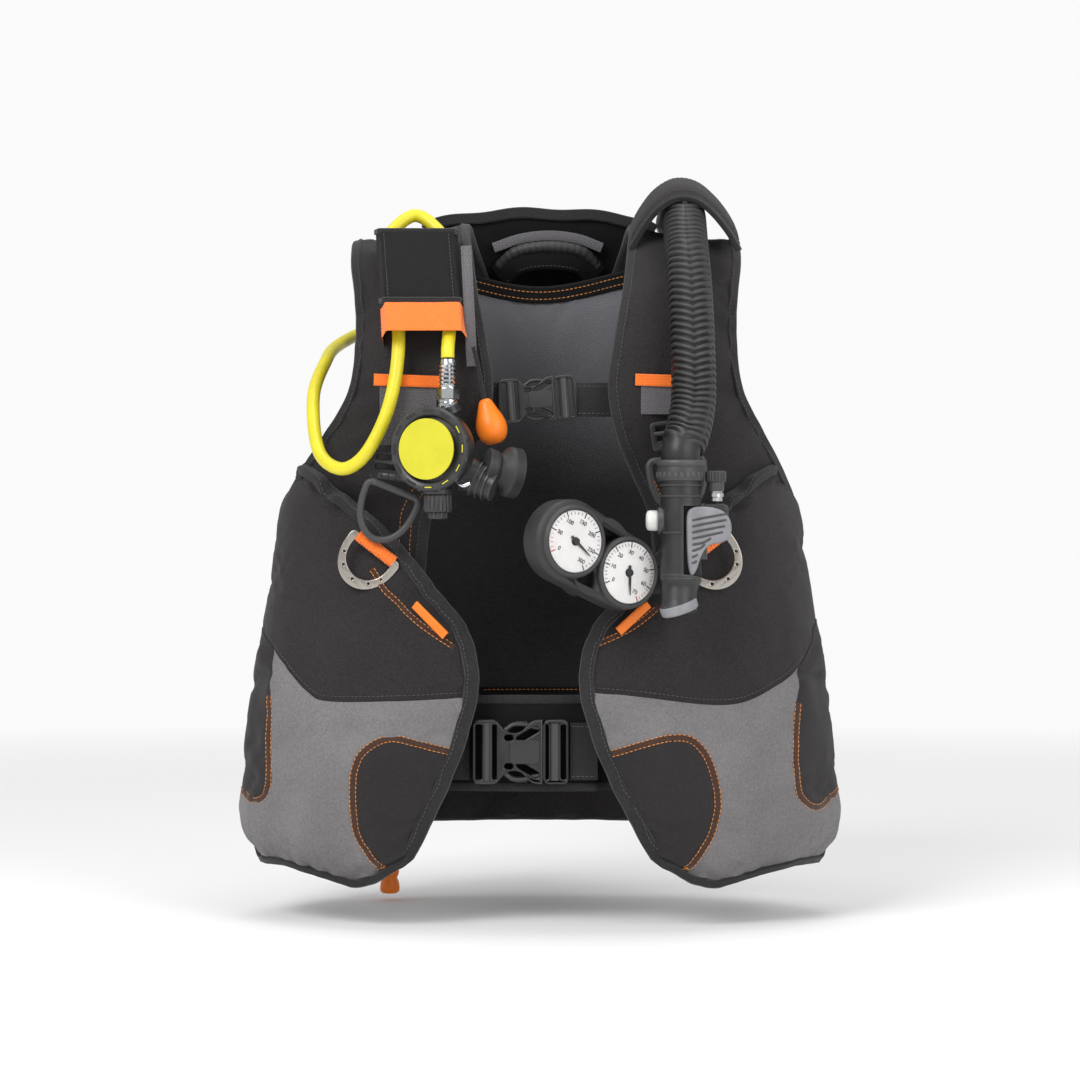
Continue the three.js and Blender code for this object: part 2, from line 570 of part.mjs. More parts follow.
// A padded wrap over the hoses: flat in front, its sides bent back towards the yoke.
function hoseWrap({ x0, x1, top, low, yTop, yLow, thick, slant, back }) {
  return sheet((u, v, inner) => {
    const side = Math.max(0, Math.abs(2 * u - 1) - 0.8) / 0.2;
    const inward = inner ? thick : 0;
    const x = lerp(x0 + inward * side, x1 - inward * side, u) + slant * v;
    return v3(x, lerp(yTop, yLow, v) + inward * (1 - side) + back * side ** 2, lerp(top, low, v));
  }, 16, 2);
}
add('octo_hose_sleeve', hoseWrap({ x0: -150, x1: -62, top: 250, low: 187, yTop: -226, yLow: -267, thick: 3.5,
  slant: -2, back: 12 }), 'nylon');
const RETAINER = {
  x0: -145, x1: -61, top: 185, low: 156, yTop: -268, yLow: -286, thick: 2, slant: 3, back: 14,
};
add('sleeve_retainer_strap', hoseWrap(RETAINER), 'orange');

// ---- gauge console ----
const gaugeConsole = new THREE.Group();
gaugeConsole.position.set(42, -324, -32);
gaugeConsole.rotation.set(0, 26 * RAD, 33 * RAD, 'ZYX');
vest.add(gaugeConsole);
const GAUGE = { x: 29.5, r: 26.6, front: -17.4, back: -6.6 };
const BOOT = { r: 34.5, rightR: 31, front: -16, back: 14 };

const prism = (corners, y0, y1) => new THREE.ExtrudeGeometry(
  new THREE.Shape(corners.map((c) => new THREE.Vector2(...c))), { depth: y1 - y0, bevelEnabled: false })
  .rotateX(Math.PI / 2).translate(0, y1, 0);

function consoleBoot() {
  const outline = [...arc(-GAUGE.x, 0, BOOT.r, 87 * RAD, 273 * RAD, 18),
    ...arc(GAUGE.x, 0, BOOT.rightR, -93 * RAD, 87 * RAD, 16)].map((p) => p.toArray());
  const neck = rod([GAUGE.x + 20, 0, 4], [GAUGE.x + 46, 0, 12], 13, 20, 9);
  return cut(join(prism(outline, BOOT.front, BOOT.back), neck),
    ...[-1, 1].map((s) => rod([s * GAUGE.x, GAUGE.back + 0.3, 0], [s * GAUGE.x, -30, 0], GAUGE.r + 0.5, 28)),
    prism([[-5, 27], [1, 12], [10, 25]], -40, 40),
    prism([[-10, -25], [-1, -12], [5, -27]], -40, 40));
}
add('console_boot', consoleBoot(), 'rubber', gaugeConsole);

function needle(length) {
  return join(rod([0, 0, 0], [0, -1.4, 0], 3.2, 12), box(0, -0.7, length / 2, 1.8, 1, length));
}
for (const [name, side, turn] of [['pressure', -1, 106], ['depth', 1, 154]]) {
  add(name + '_gauge', rod([side * GAUGE.x, GAUGE.back, 0], [side * GAUGE.x, GAUGE.front, 0], GAUGE.r, 32),
    'dial', gaugeConsole);
  const hand = add(name + '_needle', needle(19), 'plastic', gaugeConsole);
  hand.position.set(side * GAUGE.x, GAUGE.front - 0.5, 0);
  hand.rotation.y = turn * RAD;
}

// The hose leaves the boot, goes over the edge of the lobe and back inside the vest.
const CONSOLE_PATH = [
  [108.4, -281.4, -56], [113.5, -281.3, -44], [114, -278, -24], [112, -268, -6], [116, -248, 0],
  [128, -222, -22], [150, -200, -55], [174, -170, -78], [186, -130, -82],
];
add('console_hose', tube(CONSOLE_PATH, 5.5, 32, 8), 'rubber');

// ---- dump valves, zip pulls ----
function valveAt(x, z, r) {
  const w = read(HALF_WIDTH, z);
  const d = read(HALF_DEPTH, z);
  const y = d * Math.sqrt(1 - (x / w) ** 2);
  const out = v3(x / w ** 2, y / d ** 2, 0).normalize();
  const on = (lift) => v3(x, BODY_Y + y, z).addScaledVector(out, lift).toArray();
  return join(rod(on(1), on(10), r, 24), rod(on(9), on(15), r * 0.62, 24));
}
add('shoulder_dump_valve', valveAt(-112, 150, 26), 'plastic');
add('rear_dump_valve', valveAt(-150, -235, 25), 'plastic');

const bulb = new THREE.LatheGeometry([[0, -20], [7, -18.5], [12, -12], [13, -5], [10, 6], [6, 16], [0, 19]]
  .map((p) => new THREE.Vector2(...p)), 16).rotateX(Math.PI / 2);
add('shoulder_dump_pull', join(bulb.rotateY(-14 * RAD).translate(-42, -284, 82),
  rod([-46, -284, 98], [-56, -276, 144], 1.8, 8)), 'orange');
const rearKnob = rod([-137, -52, -318], [-137, -52, -340], 9, 16);
const rearCord = rod([-137, -52, -320], [-137, -52, -284], 1.6, 8);
add('rear_dump_pull', join(rearKnob, rearCord), 'orange');

for (const [name, x, z, towardX, towardZ] of [['right', -92, -85, -118, -59], ['left', 78, -83, 53, -106]]) {
  const on = (px, pz) => skin(angleAt(px, pz), pz, -4.2);
  const halfX = (towardX - x) * 0.5;
  const halfZ = (towardZ - z) * 0.5;
  const path = [on(x - halfX, z - halfZ), on(x, z), on(x + halfX, z + halfZ)].map((p) => p.toArray());
  add(name + '_zip_pull', strap(path, () => v3(1, 0, 1), 8, 2.4, 2), 'orange');
}

export default vest;
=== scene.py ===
# Looks for the buoyancy compensator vest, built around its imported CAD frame.
# Shapes are worked out in millimetres in the row frame and turned into metres when a piece is made.
import math

import bmesh
import bpy
import numpy as np
from mathutils import Matrix, Vector, noise
from mathutils.bvhtree import BVHTree


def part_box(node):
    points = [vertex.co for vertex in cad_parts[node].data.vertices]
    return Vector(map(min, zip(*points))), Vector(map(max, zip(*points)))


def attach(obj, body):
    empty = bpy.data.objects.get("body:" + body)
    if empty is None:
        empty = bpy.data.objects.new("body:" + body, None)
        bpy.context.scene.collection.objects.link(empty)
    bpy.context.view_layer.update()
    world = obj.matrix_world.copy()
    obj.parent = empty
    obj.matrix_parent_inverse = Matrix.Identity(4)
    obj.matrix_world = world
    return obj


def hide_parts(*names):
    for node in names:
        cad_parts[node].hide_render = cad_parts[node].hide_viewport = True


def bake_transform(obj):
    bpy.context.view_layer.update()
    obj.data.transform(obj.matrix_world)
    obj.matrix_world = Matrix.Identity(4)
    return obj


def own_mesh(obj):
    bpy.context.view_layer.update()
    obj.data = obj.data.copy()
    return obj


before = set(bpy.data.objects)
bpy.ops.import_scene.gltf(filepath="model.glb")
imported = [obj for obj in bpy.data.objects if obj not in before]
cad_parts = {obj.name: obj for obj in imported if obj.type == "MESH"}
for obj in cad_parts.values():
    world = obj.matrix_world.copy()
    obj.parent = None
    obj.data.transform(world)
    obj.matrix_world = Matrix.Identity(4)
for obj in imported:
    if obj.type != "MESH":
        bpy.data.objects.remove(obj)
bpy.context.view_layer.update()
MM = 0.001
RAD = math.pi / 180


# ---------------------------------------------------------------- shapes
def ease(t):
    t = np.clip(t, 0, 1)
    return t * t * (3 - 2 * t)


def lerp(a, b, t):
    return a + (b - a) * t


def smooth_step(a, b, c, d, t):
    """The curve from b to c, at shares t of the way, that runs on smoothly from a and into d."""
    bend = (2 * a - 5 * b + 4 * c - d) * t**2 + (3 * b - a - 3 * c + d) * t**3
    return 0.5 * (2 * b + (c - a) * t + bend)


def spline(points, count, closed=False):
    """A smooth curve through the points, sampled at even steps of its length."""
    p = np.asarray(points, float)
    if closed:
        p = np.vstack([p[-1], p, p[0], p[1]])
    else:
        p = np.vstack([2 * p[0] - p[1], p, 2 * p[-1] - p[-2]])
    out = []
    for i in range(1, len(p) - 2):
        t = np.linspace(0, 1, 24, endpoint=False)[:, None]
        out.append(smooth_step(p[i - 1], p[i], p[i + 1], p[i + 2], t))
    q = np.vstack(out + [p[-2][None]])
    s = lengths_along(q)
    at = np.linspace(0, s[-1], count)
    return np.stack([np.interp(at, s, q[:, k]) for k in range(q.shape[1])], -1)


def lengths_along(path):
    """How far along the path each of its points is."""
    return np.concatenate([[0], np.cumsum(np.linalg.norm(np.diff(path, axis=0), axis=1))])


def length_of(path):
    return float(np.linalg.norm(np.diff(path, axis=0), axis=1).sum())


def unit(v):
    v = np.asarray(v, float)
    return v / np.maximum(np.linalg.norm(v, axis=-1, keepdims=True), 1e-9)


def frames_along(path, up=(0, 0, 1)):
    """Tangent and two steady cross directions at each point of a path."""
    t = unit(np.gradient(path, axis=0))
    n = np.zeros_like(t)
    seed = np.asarray(up, float)
    if abs(np.dot(seed, t[0])) > 0.9:
        seed = np.array([0.0, 1.0, 0.0])
    n[0] = unit(seed - np.dot(seed, t[0]) * t[0])
    for i in range(1, len(t)):
        n[i] = unit(n[i - 1] - np.dot(n[i - 1], t[i]) * t[i])
    return t, n, np.cross(t, n)


def new_object(name, data):
    ob = bpy.data.objects.new(name, data)
    bpy.context.scene.collection.objects.link(ob)
    return ob


def new_mesh(name, verts, faces):
    """A mesh in metres from a body in millimetres, all its faces looking out."""
    me = bpy.data.meshes.new(name)
    me.from_pydata((verts * MM).tolist(), [], faces)
    bm = bmesh.new()
    bm.from_mesh(me)
    bmesh.ops.recalc_face_normals(bm, faces=bm.faces)
    bm.to_mesh(me)
    bm.free()
    return me


class Shape:
    """Collects surfaces in millimetres, each with the number of its material."""

    def __init__(self):
        self.verts, self.faces, self.mats, self.count = [], [], [], 0

    def add(self, part, mat=0, at=None):
        verts, faces = part
        verts = np.asarray(verts, float).reshape(-1, 3)
        if at is not None:
            m = np.array(at)
            verts = verts @ m[:3, :3].T + m[:3, 3]
        self.verts.append(verts)
        self.faces += [tuple(i + self.count for i in f) for f in faces]
        self.mats += [mat] * len(faces)
        self.count += len(verts)
        return self

    def piece(self, name, materials, body, replaces=(), slot=None, sharp=38, fields=None):
        """Makes the Blender piece: smooth, but for edges sharper than the given angle."""
        me = new_mesh(name, np.vstack(self.verts), self.faces)
        me.polygons.foreach_set("material_index", self.mats)
        for field, values in (fields or {}).items():
            values = np.asarray(values, np.float32)
            me.attributes.new(field, "FLOAT", "POINT").data.foreach_set("value", values)
        me.shade_smooth()
        if sharp < 180:
            me.set_sharp_from_angle(angle=sharp * RAD)
        for m in materials if isinstance(materials, (list, tuple)) else [materials]:
            me.materials.append(m)
        ob = new_object(name, me)
        if body:
            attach(ob, body)
        if replaces:
            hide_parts(*replaces)
        return ob


def turned(degrees, axis):
    return Matrix.Rotation(degrees * RAD, 4, axis)


def put(x=0, y=0, z=0, rx=0, ry=0, rz=0, scale=(1, 1, 1)):
    """A placing matrix in millimetres: turned about X, then Y, then Z, then moved."""
    turn = turned(rz, "Z") @ turned(ry, "Y") @ turned(rx, "X")
    return Matrix.Translation((x, y, z)) @ turn @ Matrix.Diagonal((*scale, 1))


def aimed(direction, place):
    """A placing matrix that turns Z along a direction."""
    turn = Vector(direction).to_track_quat("Z", "Y").to_matrix().to_4x4()
    return Matrix.Translation(tuple(place)) @ turn


FACING = put(rx=90)      # stands a flat shape up so that its front looks towards -Y
FRONT = (0, -1, 0)       # the way the wearer faces


def grid_faces(rows, cols, offset=0, flip=False, wrap=False):
    faces = []
    for j in range(rows - 1):
        for i in range(cols if wrap else cols - 1):
            k = (i + 1) % cols
            a, b, c, d = j * cols + i, j * cols + k, (j + 1) * cols + k, (j + 1) * cols + i
            q = (a, b, c, d) if not flip else (d, c, b, a)
            faces.append(tuple(x + offset for x in q))
    return faces


def closed_sheet(outer, inner):
    """One closed body from two grids of points of the same size."""
    rows, cols = outer.shape[:2]
    n = rows * cols
    faces = grid_faces(rows, cols) + grid_faces(rows, cols, n, flip=True)
    ring = list(range(cols)) + [j * cols + cols - 1 for j in range(1, rows)]
    ring += [(rows - 1) * cols + i for i in range(cols - 2, -1, -1)]
    ring += [j * cols for j in range(rows - 2, 0, -1)]
    for a, b in zip(ring, ring[1:] + ring[:1]):
        faces.append((b, a, a + n, b + n))
    return np.concatenate([outer.reshape(-1, 3), inner.reshape(-1, 3)]), faces


def lathe(profile, sides=48):
    """A turned body about Z from [radius, height] pairs; radius 0 closes an end."""
    verts, faces, rings = [], [], []
    a = np.linspace(0, 2 * math.pi, sides, endpoint=False)
    for r, h in profile:
        if r <= 1e-6:
            rings.append([len(verts)])
            verts.append((0, 0, h))
        else:
            rings.append(list(range(len(verts), len(verts) + sides)))
            verts += [(r * math.cos(t), r * math.sin(t), h) for t in a]
    for lo, hi in zip(rings, rings[1:]):
        for i in range(sides):
            k = (i + 1) % sides
            if len(lo) == 1:
                faces.append((lo[0], hi[k], hi[i]))
            elif len(hi) == 1:
                faces.append((lo[i], lo[k], hi[0]))
            else:
                faces.append((lo[i], lo[k], hi[k], hi[i]))
    return np.array(verts), faces


def tube(path, radius, sides=16, up=(0, 0, 1), squash=(1, 1)):
    """A round body along a path; radius is a number, or a function of (length along, angle)."""
    _, n, b = frames_along(path, up)
    around = np.linspace(0, 2 * math.pi, sides, endpoint=False)
    s, a = np.meshgrid(lengths_along(path), around, indexing="ij")
    r = radius(s, a) if callable(radius) else radius
    ring = path[:, None] + (np.cos(a) * r * squash[0])[..., None] * n[:, None]
    ring = ring + (np.sin(a) * r * squash[1])[..., None] * b[:, None]
    verts = np.concatenate([ring.reshape(-1, 3), path[:1], path[-1:]])
    faces = grid_faces(len(path), sides, wrap=True)
    first, last = len(verts) - 2, len(verts) - 1
    base = (len(path) - 1) * sides
    for i in range(sides):
        faces.append((first, (i + 1) % sides, i))
        faces.append((last, base + i, base + (i + 1) % sides))
    return verts, faces


def bar(a, b, radius, sides=20):
    return tube(np.array([a, b], float), radius, sides)


def sweep(path, normals, profile):
    """A closed [across, out] profile carried along a path whose outward normals are given."""
    t = unit(np.gradient(path, axis=0))
    side = unit(np.cross(normals, t))
    out = unit(np.cross(t, side))
    p = np.asarray(profile, float)
    ring = path[:, None] + p[None, :, :1] * side[:, None] + p[None, :, 1:] * out[:, None]
    verts = ring.reshape(-1, 3)
    cols = len(p)
    faces = grid_faces(len(path), cols, wrap=True)
    faces.append(tuple(range(cols - 1, -1, -1)))
    faces.append(tuple(range(len(verts) - cols, len(verts))))
    return verts, faces


def strap_profile(width, thick):
    """A flat [across, out] outline with cut corners."""
    w, t = width / 2, thick / 2
    top = [(w, t / 2), (w - 0.6, t), (-w + 0.6, t), (-w, t / 2)]
    return [(-x, -y) for x, y in top] + top


def rounded(width, height, corner, steps=5, taper=1.0):
    """The outline of a rounded rectangle; taper narrows its right end."""
    points = []
    for i, (sx, sy) in enumerate([(1, -1), (1, 1), (-1, 1), (-1, -1)]):
        for k in range(steps + 1):
            a = (i - 1 + k / steps) * math.pi / 2
            points.append((sx * (width / 2 - corner) + corner * math.cos(a),
                           sy * (height / 2 - corner) + corner * math.sin(a)))
    return [(x, y * lerp(1, taper, (x + width / 2) / width)) for x, y in points]


def moved(outline, x, y):
    return [(px + x, py + y) for px, py in outline]


def circle(radius, steps, x, y):
    turns = np.arange(steps) * 2 * math.pi / steps
    return [(x + radius * math.cos(a), y + radius * math.sin(a)) for a in turns]


def plate(outline, holes=(), thick=3.0, bevel=0.6, rounds=2):
    """A flat body with rounded edges and holes, lying in XY with its middle at height 0."""
    cu = bpy.data.curves.new("plate", "CURVE")
    cu.dimensions = "2D"
    cu.fill_mode = "BOTH"
    cu.extrude = (thick / 2 - bevel) * MM
    cu.bevel_depth = bevel * MM
    cu.bevel_resolution = rounds
    cu.offset = -bevel * MM
    for points in [outline, *holes]:
        sp = cu.splines.new("POLY")
        sp.points.add(len(points) - 1)
        for q, (x, y) in zip(sp.points, points):
            q.co = (x * MM, y * MM, 0, 1)
        sp.use_cyclic_u = True
    ob = new_object("plate", cu)
    me = bpy.data.meshes.new_from_object(ob.evaluated_get(bpy.context.evaluated_depsgraph_get()))
    bm = bmesh.new()
    bm.from_mesh(me)
    bmesh.ops.remove_doubles(bm, verts=bm.verts, dist=1e-6)
    bm.to_mesh(me)
    bm.free()
    verts = np.array([v.co for v in me.vertices]) / MM
    faces = [tuple(p.vertices) for p in me.polygons]
    bpy.data.objects.remove(ob)
    bpy.data.curves.remove(cu)
    bpy.data.meshes.remove(me)
    return verts, faces


def block(w, d, h, bevel=1.0):
    """A box with cut corners, its middle at the origin."""
    bm = bmesh.new()
    for sx in (-1, 1):
        for sy in (-1, 1):
            for sz in (-1, 1):
                x, y, z = sx * w / 2, sy * d / 2, sz * h / 2
                bm.verts.new((x - sx * bevel, y - sy * bevel, z))
                bm.verts.new((x - sx * bevel, y, z - sz * bevel))
                bm.verts.new((x, y - sy * bevel, z - sz * bevel))
    bmesh.ops.convex_hull(bm, input=bm.verts)
    verts = np.array([v.co for v in bm.verts])
    index = {v: i for i, v in enumerate(bm.verts)}
    faces = [tuple(index[v] for v in f.verts) for f in bm.faces]
    bm.free()
    return verts, faces


# ---------------------------------------------------------------- materials
class Nodes:
    """Short names for building a material's node tree."""

    def __init__(self, name):
        self.mat = bpy.data.materials.new(name)
        self.mat.use_nodes = True
        self.tree = self.mat.node_tree
        self.bsdf = self.tree.nodes["Principled BSDF"]
        self.where = self.new("ShaderNodeTexCoord").outputs["Object"]

    def new(self, kind, **values):
        node = self.tree.nodes.new(kind)
        for key, value in values.items():
            setattr(node, key, value)
        return node

    def link(self, a, b):
        self.tree.links.new(a, b)

    def feed(self, socket, value):
        if isinstance(value, bpy.types.NodeSocket):
            self.link(value, socket)
        else:
            socket.default_value = value

    def math(self, operation, a, b=0.0):
        node = self.new("ShaderNodeMath", operation=operation)
        self.feed(node.inputs[0], a)
        self.feed(node.inputs[1], b)
        return node.outputs[0]

    def noise(self, scale, detail=2.0, stretch=None):
        node = self.new("ShaderNodeTexNoise")
        node.inputs["Scale"].default_value = scale
        node.inputs["Detail"].default_value = detail
        where = self.where
        if stretch:
            mapping = self.new("ShaderNodeMapping")
            mapping.inputs["Scale"].default_value = stretch
            self.link(self.where, mapping.inputs["Vector"])
            where = mapping.outputs[0]
        self.link(where, node.inputs["Vector"])
        return node.outputs["Fac"]

    def ramp(self, value, low, high, to_low=0.0, to_high=1.0):
        node = self.new("ShaderNodeMapRange")
        for key, number in (("From Min", low), ("From Max", high), ("To Min", to_low), ("To Max", to_high)):
            node.inputs[key].default_value = number
        self.link(value, node.inputs["Value"])
        return node.outputs[0]

    def blend(self, share, a, b):
        node = self.new("ShaderNodeMix", data_type="RGBA")
        factor, first, second, result = node.inputs[0], node.inputs[6], node.inputs[7], node.outputs[2]
        self.feed(factor, share)
        self.feed(first, (*a, 1) if isinstance(a, tuple) and len(a) == 3 else a)
        self.feed(second, (*b, 1) if isinstance(b, tuple) and len(b) == 3 else b)
        return result

    def field(self, name):
        return self.new("ShaderNodeAttribute", attribute_name=name).outputs["Fac"]

    def waves(self, pitch_mm, across=(1, 0.8, 0), up=(0, 0, 1)):
        """Two crossing sets of waves, the threads of a weave: -1 to 1 each."""
        out = []
        for direction in (across, up):
            dot = self.new("ShaderNodeVectorMath", operation="DOT_PRODUCT")
            self.link(self.where, dot.inputs[0])
            dot.inputs[1].default_value = [c * 2 * math.pi / (pitch_mm * MM) for c in direction]
            out.append(self.math("SINE", dot.outputs["Value"]))
        return out

    def bump(self, height, distance_mm, strength=1.0):
        node = self.new("ShaderNodeBump")
        node.inputs["Distance"].default_value = distance_mm * MM
        node.inputs["Strength"].default_value = strength
        self.link(height, node.inputs["Height"])
        self.link(node.outputs[0], self.bsdf.inputs["Normal"])

    def done(self, colour, rough, **inputs):
        self.feed(self.bsdf.inputs["Base Color"], (*colour, 1) if isinstance(colour, tuple) else colour)
        self.feed(self.bsdf.inputs["Roughness"], rough)
        for key, value in inputs.items():
            self.feed(self.bsdf.inputs[key.replace("_", " ")], value)
        return self.mat


def times(colour, k):
    return tuple(min(1.0, c * k) for c in colour)


def fabric(name, colour, pitch=1.1, contrast=0.35, rough=0.88, sheen=0.25, second=None, field=None):
    """Woven cloth. Where the named field is below zero, the second colour shows."""
    n = Nodes(name)
    warp, weft = n.waves(pitch)
    thread = n.math("MULTIPLY", warp, weft)
    grain = n.noise(1400, 2)
    patch = n.noise(18, 4)
    if second:
        base = n.blend(n.ramp(n.field(field), -0.4, 0.4), second, colour)
    else:
        base = n.blend(0.0, colour, colour)
    slub = n.noise(520, 2)
    fleck = n.math("ADD", n.math("SUBTRACT", grain, 0.5), n.math("SUBTRACT", slub, 0.5))
    mix = n.math("ADD", n.math("MULTIPLY", thread, 0.5), n.math("MULTIPLY", fleck, 2.6))
    light = n.math("ADD", n.math("MULTIPLY", mix, contrast), n.ramp(patch, 0.3, 0.7, 0.9, 1.12))
    scale = n.new("ShaderNodeVectorMath", operation="SCALE")
    n.link(base, scale.inputs[0])
    n.link(light, scale.inputs["Scale"])
    n.bump(n.math("ADD", n.math("MULTIPLY", thread, 0.6), grain), 0.25)
    return n.done(scale.outputs[0], rough, Sheen_Weight=sheen, Sheen_Roughness=0.4, Specular_IOR_Level=0.25)


def webbing(name, colour, pitch=2.2, rough=0.75):
    """Ribbed webbing: a herringbone of coarse ribs."""
    n = Nodes(name)
    warp, weft = n.waves(pitch, across=(1, 0.6, 0.9), up=(-1, -0.6, 0.9))
    rib = n.math("MAXIMUM", warp, weft)
    grain = n.noise(1600, 2)
    relief = n.ramp(rib, -1, 1, 0.7, 1.2)
    light = n.math("ADD", relief, n.math("MULTIPLY", n.math("SUBTRACT", grain, 0.5), 0.5))
    scale = n.new("ShaderNodeVectorMath", operation="SCALE")
    scale.inputs[0].default_value = colour
    n.link(light, scale.inputs["Scale"])
    n.bump(rib, 0.35)
    return n.done(scale.outputs[0], rough, Sheen_Weight=0.15, Specular_IOR_Level=0.3)


def moulded(name, colour, rough=0.42, grain=0.06, wear=0.25, mottle=0.15):
    """Moulded plastic or rubber: fine grain, uneven gloss and paler worn edges."""
    n = Nodes(name)
    fine = n.noise(2200, 2)
    broad = n.noise(60, 3)
    edge = n.ramp(n.new("ShaderNodeNewGeometry").outputs["Pointiness"], 0.505, 0.57)
    shade = n.blend(n.ramp(broad, 0.35, 0.65), times(colour, 1 - mottle), times(colour, 1 + mottle))
    worn = tuple(c + (0.5 - c) * 0.25 for c in colour)
    shade = n.blend(n.math("MULTIPLY", edge, wear), shade, worn)
    n.bump(fine, grain)
    return n.done(shade, n.ramp(broad, 0.3, 0.7, rough - 0.06, rough + 0.08), Specular_IOR_Level=0.45)


def metal(name, colour, rough=0.2, brushed=False):
    n = Nodes(name)
    streak = n.noise(500, 3, stretch=(1, 1, 0.08) if brushed else None)
    spots = n.noise(40, 3)
    n.bump(streak, 0.02 if not brushed else 0.04)
    shade = n.blend(n.ramp(spots, 0.35, 0.7), times(colour, 0.88), colour)
    return n.done(shade, n.ramp(streak, 0.3, 0.7, rough - 0.05, rough + 0.08), Metallic=1.0)


BLACK = (0.0245, 0.0215, 0.0225)
GREY = (0.178, 0.170, 0.173)
nylon = fabric("nylon", BLACK, contrast=0.42, sheen=0.12)
two_tone = fabric("two_tone_nylon", GREY, contrast=0.26, sheen=0.12, second=BLACK, field="panel")
lining = fabric("lining", (0.0035, 0.0034, 0.0036), pitch=1.6, contrast=0.3, sheen=0.02)
binding_tape = fabric("binding", (0.024, 0.0225, 0.0235), pitch=1.4, contrast=0.4, sheen=0.2)
sleeve_cloth = fabric("sleeve_cloth", (0.0085, 0.008, 0.0085), pitch=0.8, contrast=0.25, sheen=0.04,
                      rough=0.85)
grey_web = webbing("grey_webbing", (0.115, 0.11, 0.118), pitch=2.6)
black_web = webbing("black_webbing", (0.015, 0.0145, 0.015), pitch=2.4)
orange_web = webbing("orange_webbing", (1.0, 0.2, 0.02), pitch=2.2, rough=0.6)
piping = fabric("brown_piping", (0.06, 0.03, 0.02), pitch=1.0, contrast=0.4)
thread = moulded("orange_thread", (0.62, 0.24, 0.06), rough=0.55, wear=0.0)
black_thread = moulded("black_thread", (0.09, 0.09, 0.095), rough=0.6, wear=0.0)
plastic = moulded("black_plastic", (0.011, 0.011, 0.0115), rough=0.34)
satin = moulded("satin_black", (0.017, 0.0168, 0.0172), rough=0.42)
rubber = moulded("rubber", (0.0155, 0.0155, 0.016), rough=0.5, grain=0.1, wear=0.2)
hose_rubber = moulded("hose_rubber", (0.0095, 0.0094, 0.01), rough=0.42, grain=0.08, wear=0.3)
grey_plastic = moulded("grey_plastic", (0.2, 0.2, 0.215), rough=0.42)
dark_grey = moulded("dark_grey_plastic", (0.03, 0.03, 0.031), rough=0.45)
white_plastic = moulded("white_plastic", (0.62, 0.62, 0.6), rough=0.3, wear=0.0)
yellow_rubber = moulded("yellow_hose", (0.70, 0.61, 0.02), rough=0.36, wear=0.1, mottle=0.05)
yellow_plastic = moulded("yellow_plastic", (0.60, 0.56, 0.015), rough=0.3, wear=0.1, mottle=0.03)
orange_rubber = moulded("orange_rubber", (0.90, 0.20, 0.008), rough=0.38, wear=0.05, mottle=0.05)
red_plastic = moulded("red_plastic", (0.6, 0.02, 0.02), rough=0.4, wear=0.0)
dial_paint = moulded("dial_paint", (0.82, 0.8, 0.79), rough=0.5, grain=0.01, wear=0.0, mottle=0.03)
ink = moulded("dial_ink", (0.015, 0.015, 0.018), rough=0.5, grain=0.01, wear=0.0)
steel = metal("steel", (0.46, 0.43, 0.385), rough=0.27, brushed=True)
chrome = metal("chrome", (0.72, 0.73, 0.75), rough=0.13)


def pad_fabric():
    """Air mesh of the back pad, with painted shade: grey at the top, fading to near black below where less
    light reaches.
    """
    n = Nodes("back_mesh_painted_shade")
    height = n.new("ShaderNodeSeparateXYZ")
    n.link(n.where, height.inputs[0])
    wobble = n.math("MULTIPLY", n.math("SUBTRACT", n.noise(9, 2), 0.5), 0.05)
    level = n.math("ADD", height.outputs["Z"], wobble)
    warp, weft = n.waves(2.2)
    hole = n.ramp(n.math("MULTIPLY", warp, weft), -0.2, 0.6)
    # Painted shade: the colour darkens with height from grey to near black, standing in for the light
    # falling off down the pad.
    shade = n.blend(n.ramp(level, 0.03, 0.19), (0.022, 0.023, 0.024), (0.155, 0.15, 0.165))
    light = n.math("ADD", n.ramp(hole, 0, 1, 0.78, 1.1), n.math("MULTIPLY", n.noise(1500), 0.14))
    scale = n.new("ShaderNodeVectorMath", operation="SCALE")
    n.link(shade, scale.inputs[0])
    n.link(light, scale.inputs["Scale"])
    n.bump(hole, 0.4)
    return n.done(scale.outputs[0], 0.9, Sheen_Weight=0.3, Specular_IOR_Level=0.2)


def lens_glass():
    n = Nodes("gauge_lens")
    streak = n.noise(30, 1)
    return n.done((1.0, 1.0, 1.0), n.ramp(streak, 0, 1, 0.02, 0.05), Transmission_Weight=1.0, IOR=1.15,
                  Specular_IOR_Level=0.4)


back_mesh_painted_shade = pad_fabric()
lens = lens_glass()


# ---------------------------------------------------------------- soft shell
BODY_Y = -155        # the body's upright axis
FLAT = 250           # the radius at which the skin is rolled out flat
PATH_STEP = 2.5      # the distance between points of a path laid on the skin
HALF_WIDTH = [(-320, 244), (-270, 260), (-200, 258), (-90, 247), (0, 231), (60, 216)]
HALF_DEPTH = [(-320, 128), (-200, 138), (-90, 132), (0, 125), (60, 115)]
LOBE_EDGE = [(-300, 106), (-264, 85), (-231, 67), (-191, 49), (-156, 38), (-135, 35), (-109, 39), (-88, 49),
             (-67, 70), (-43, 91), (-18, 116), (-5, 133), (46, 205)]
LOBE_BOTTOM = [(0, -285), (0.12, -306), (0.22, -312), (0.38, -303), (0.55, -296), (0.8, -297), (1, -282)]
LOBE_TOP = 46
SEAM = 98 * RAD
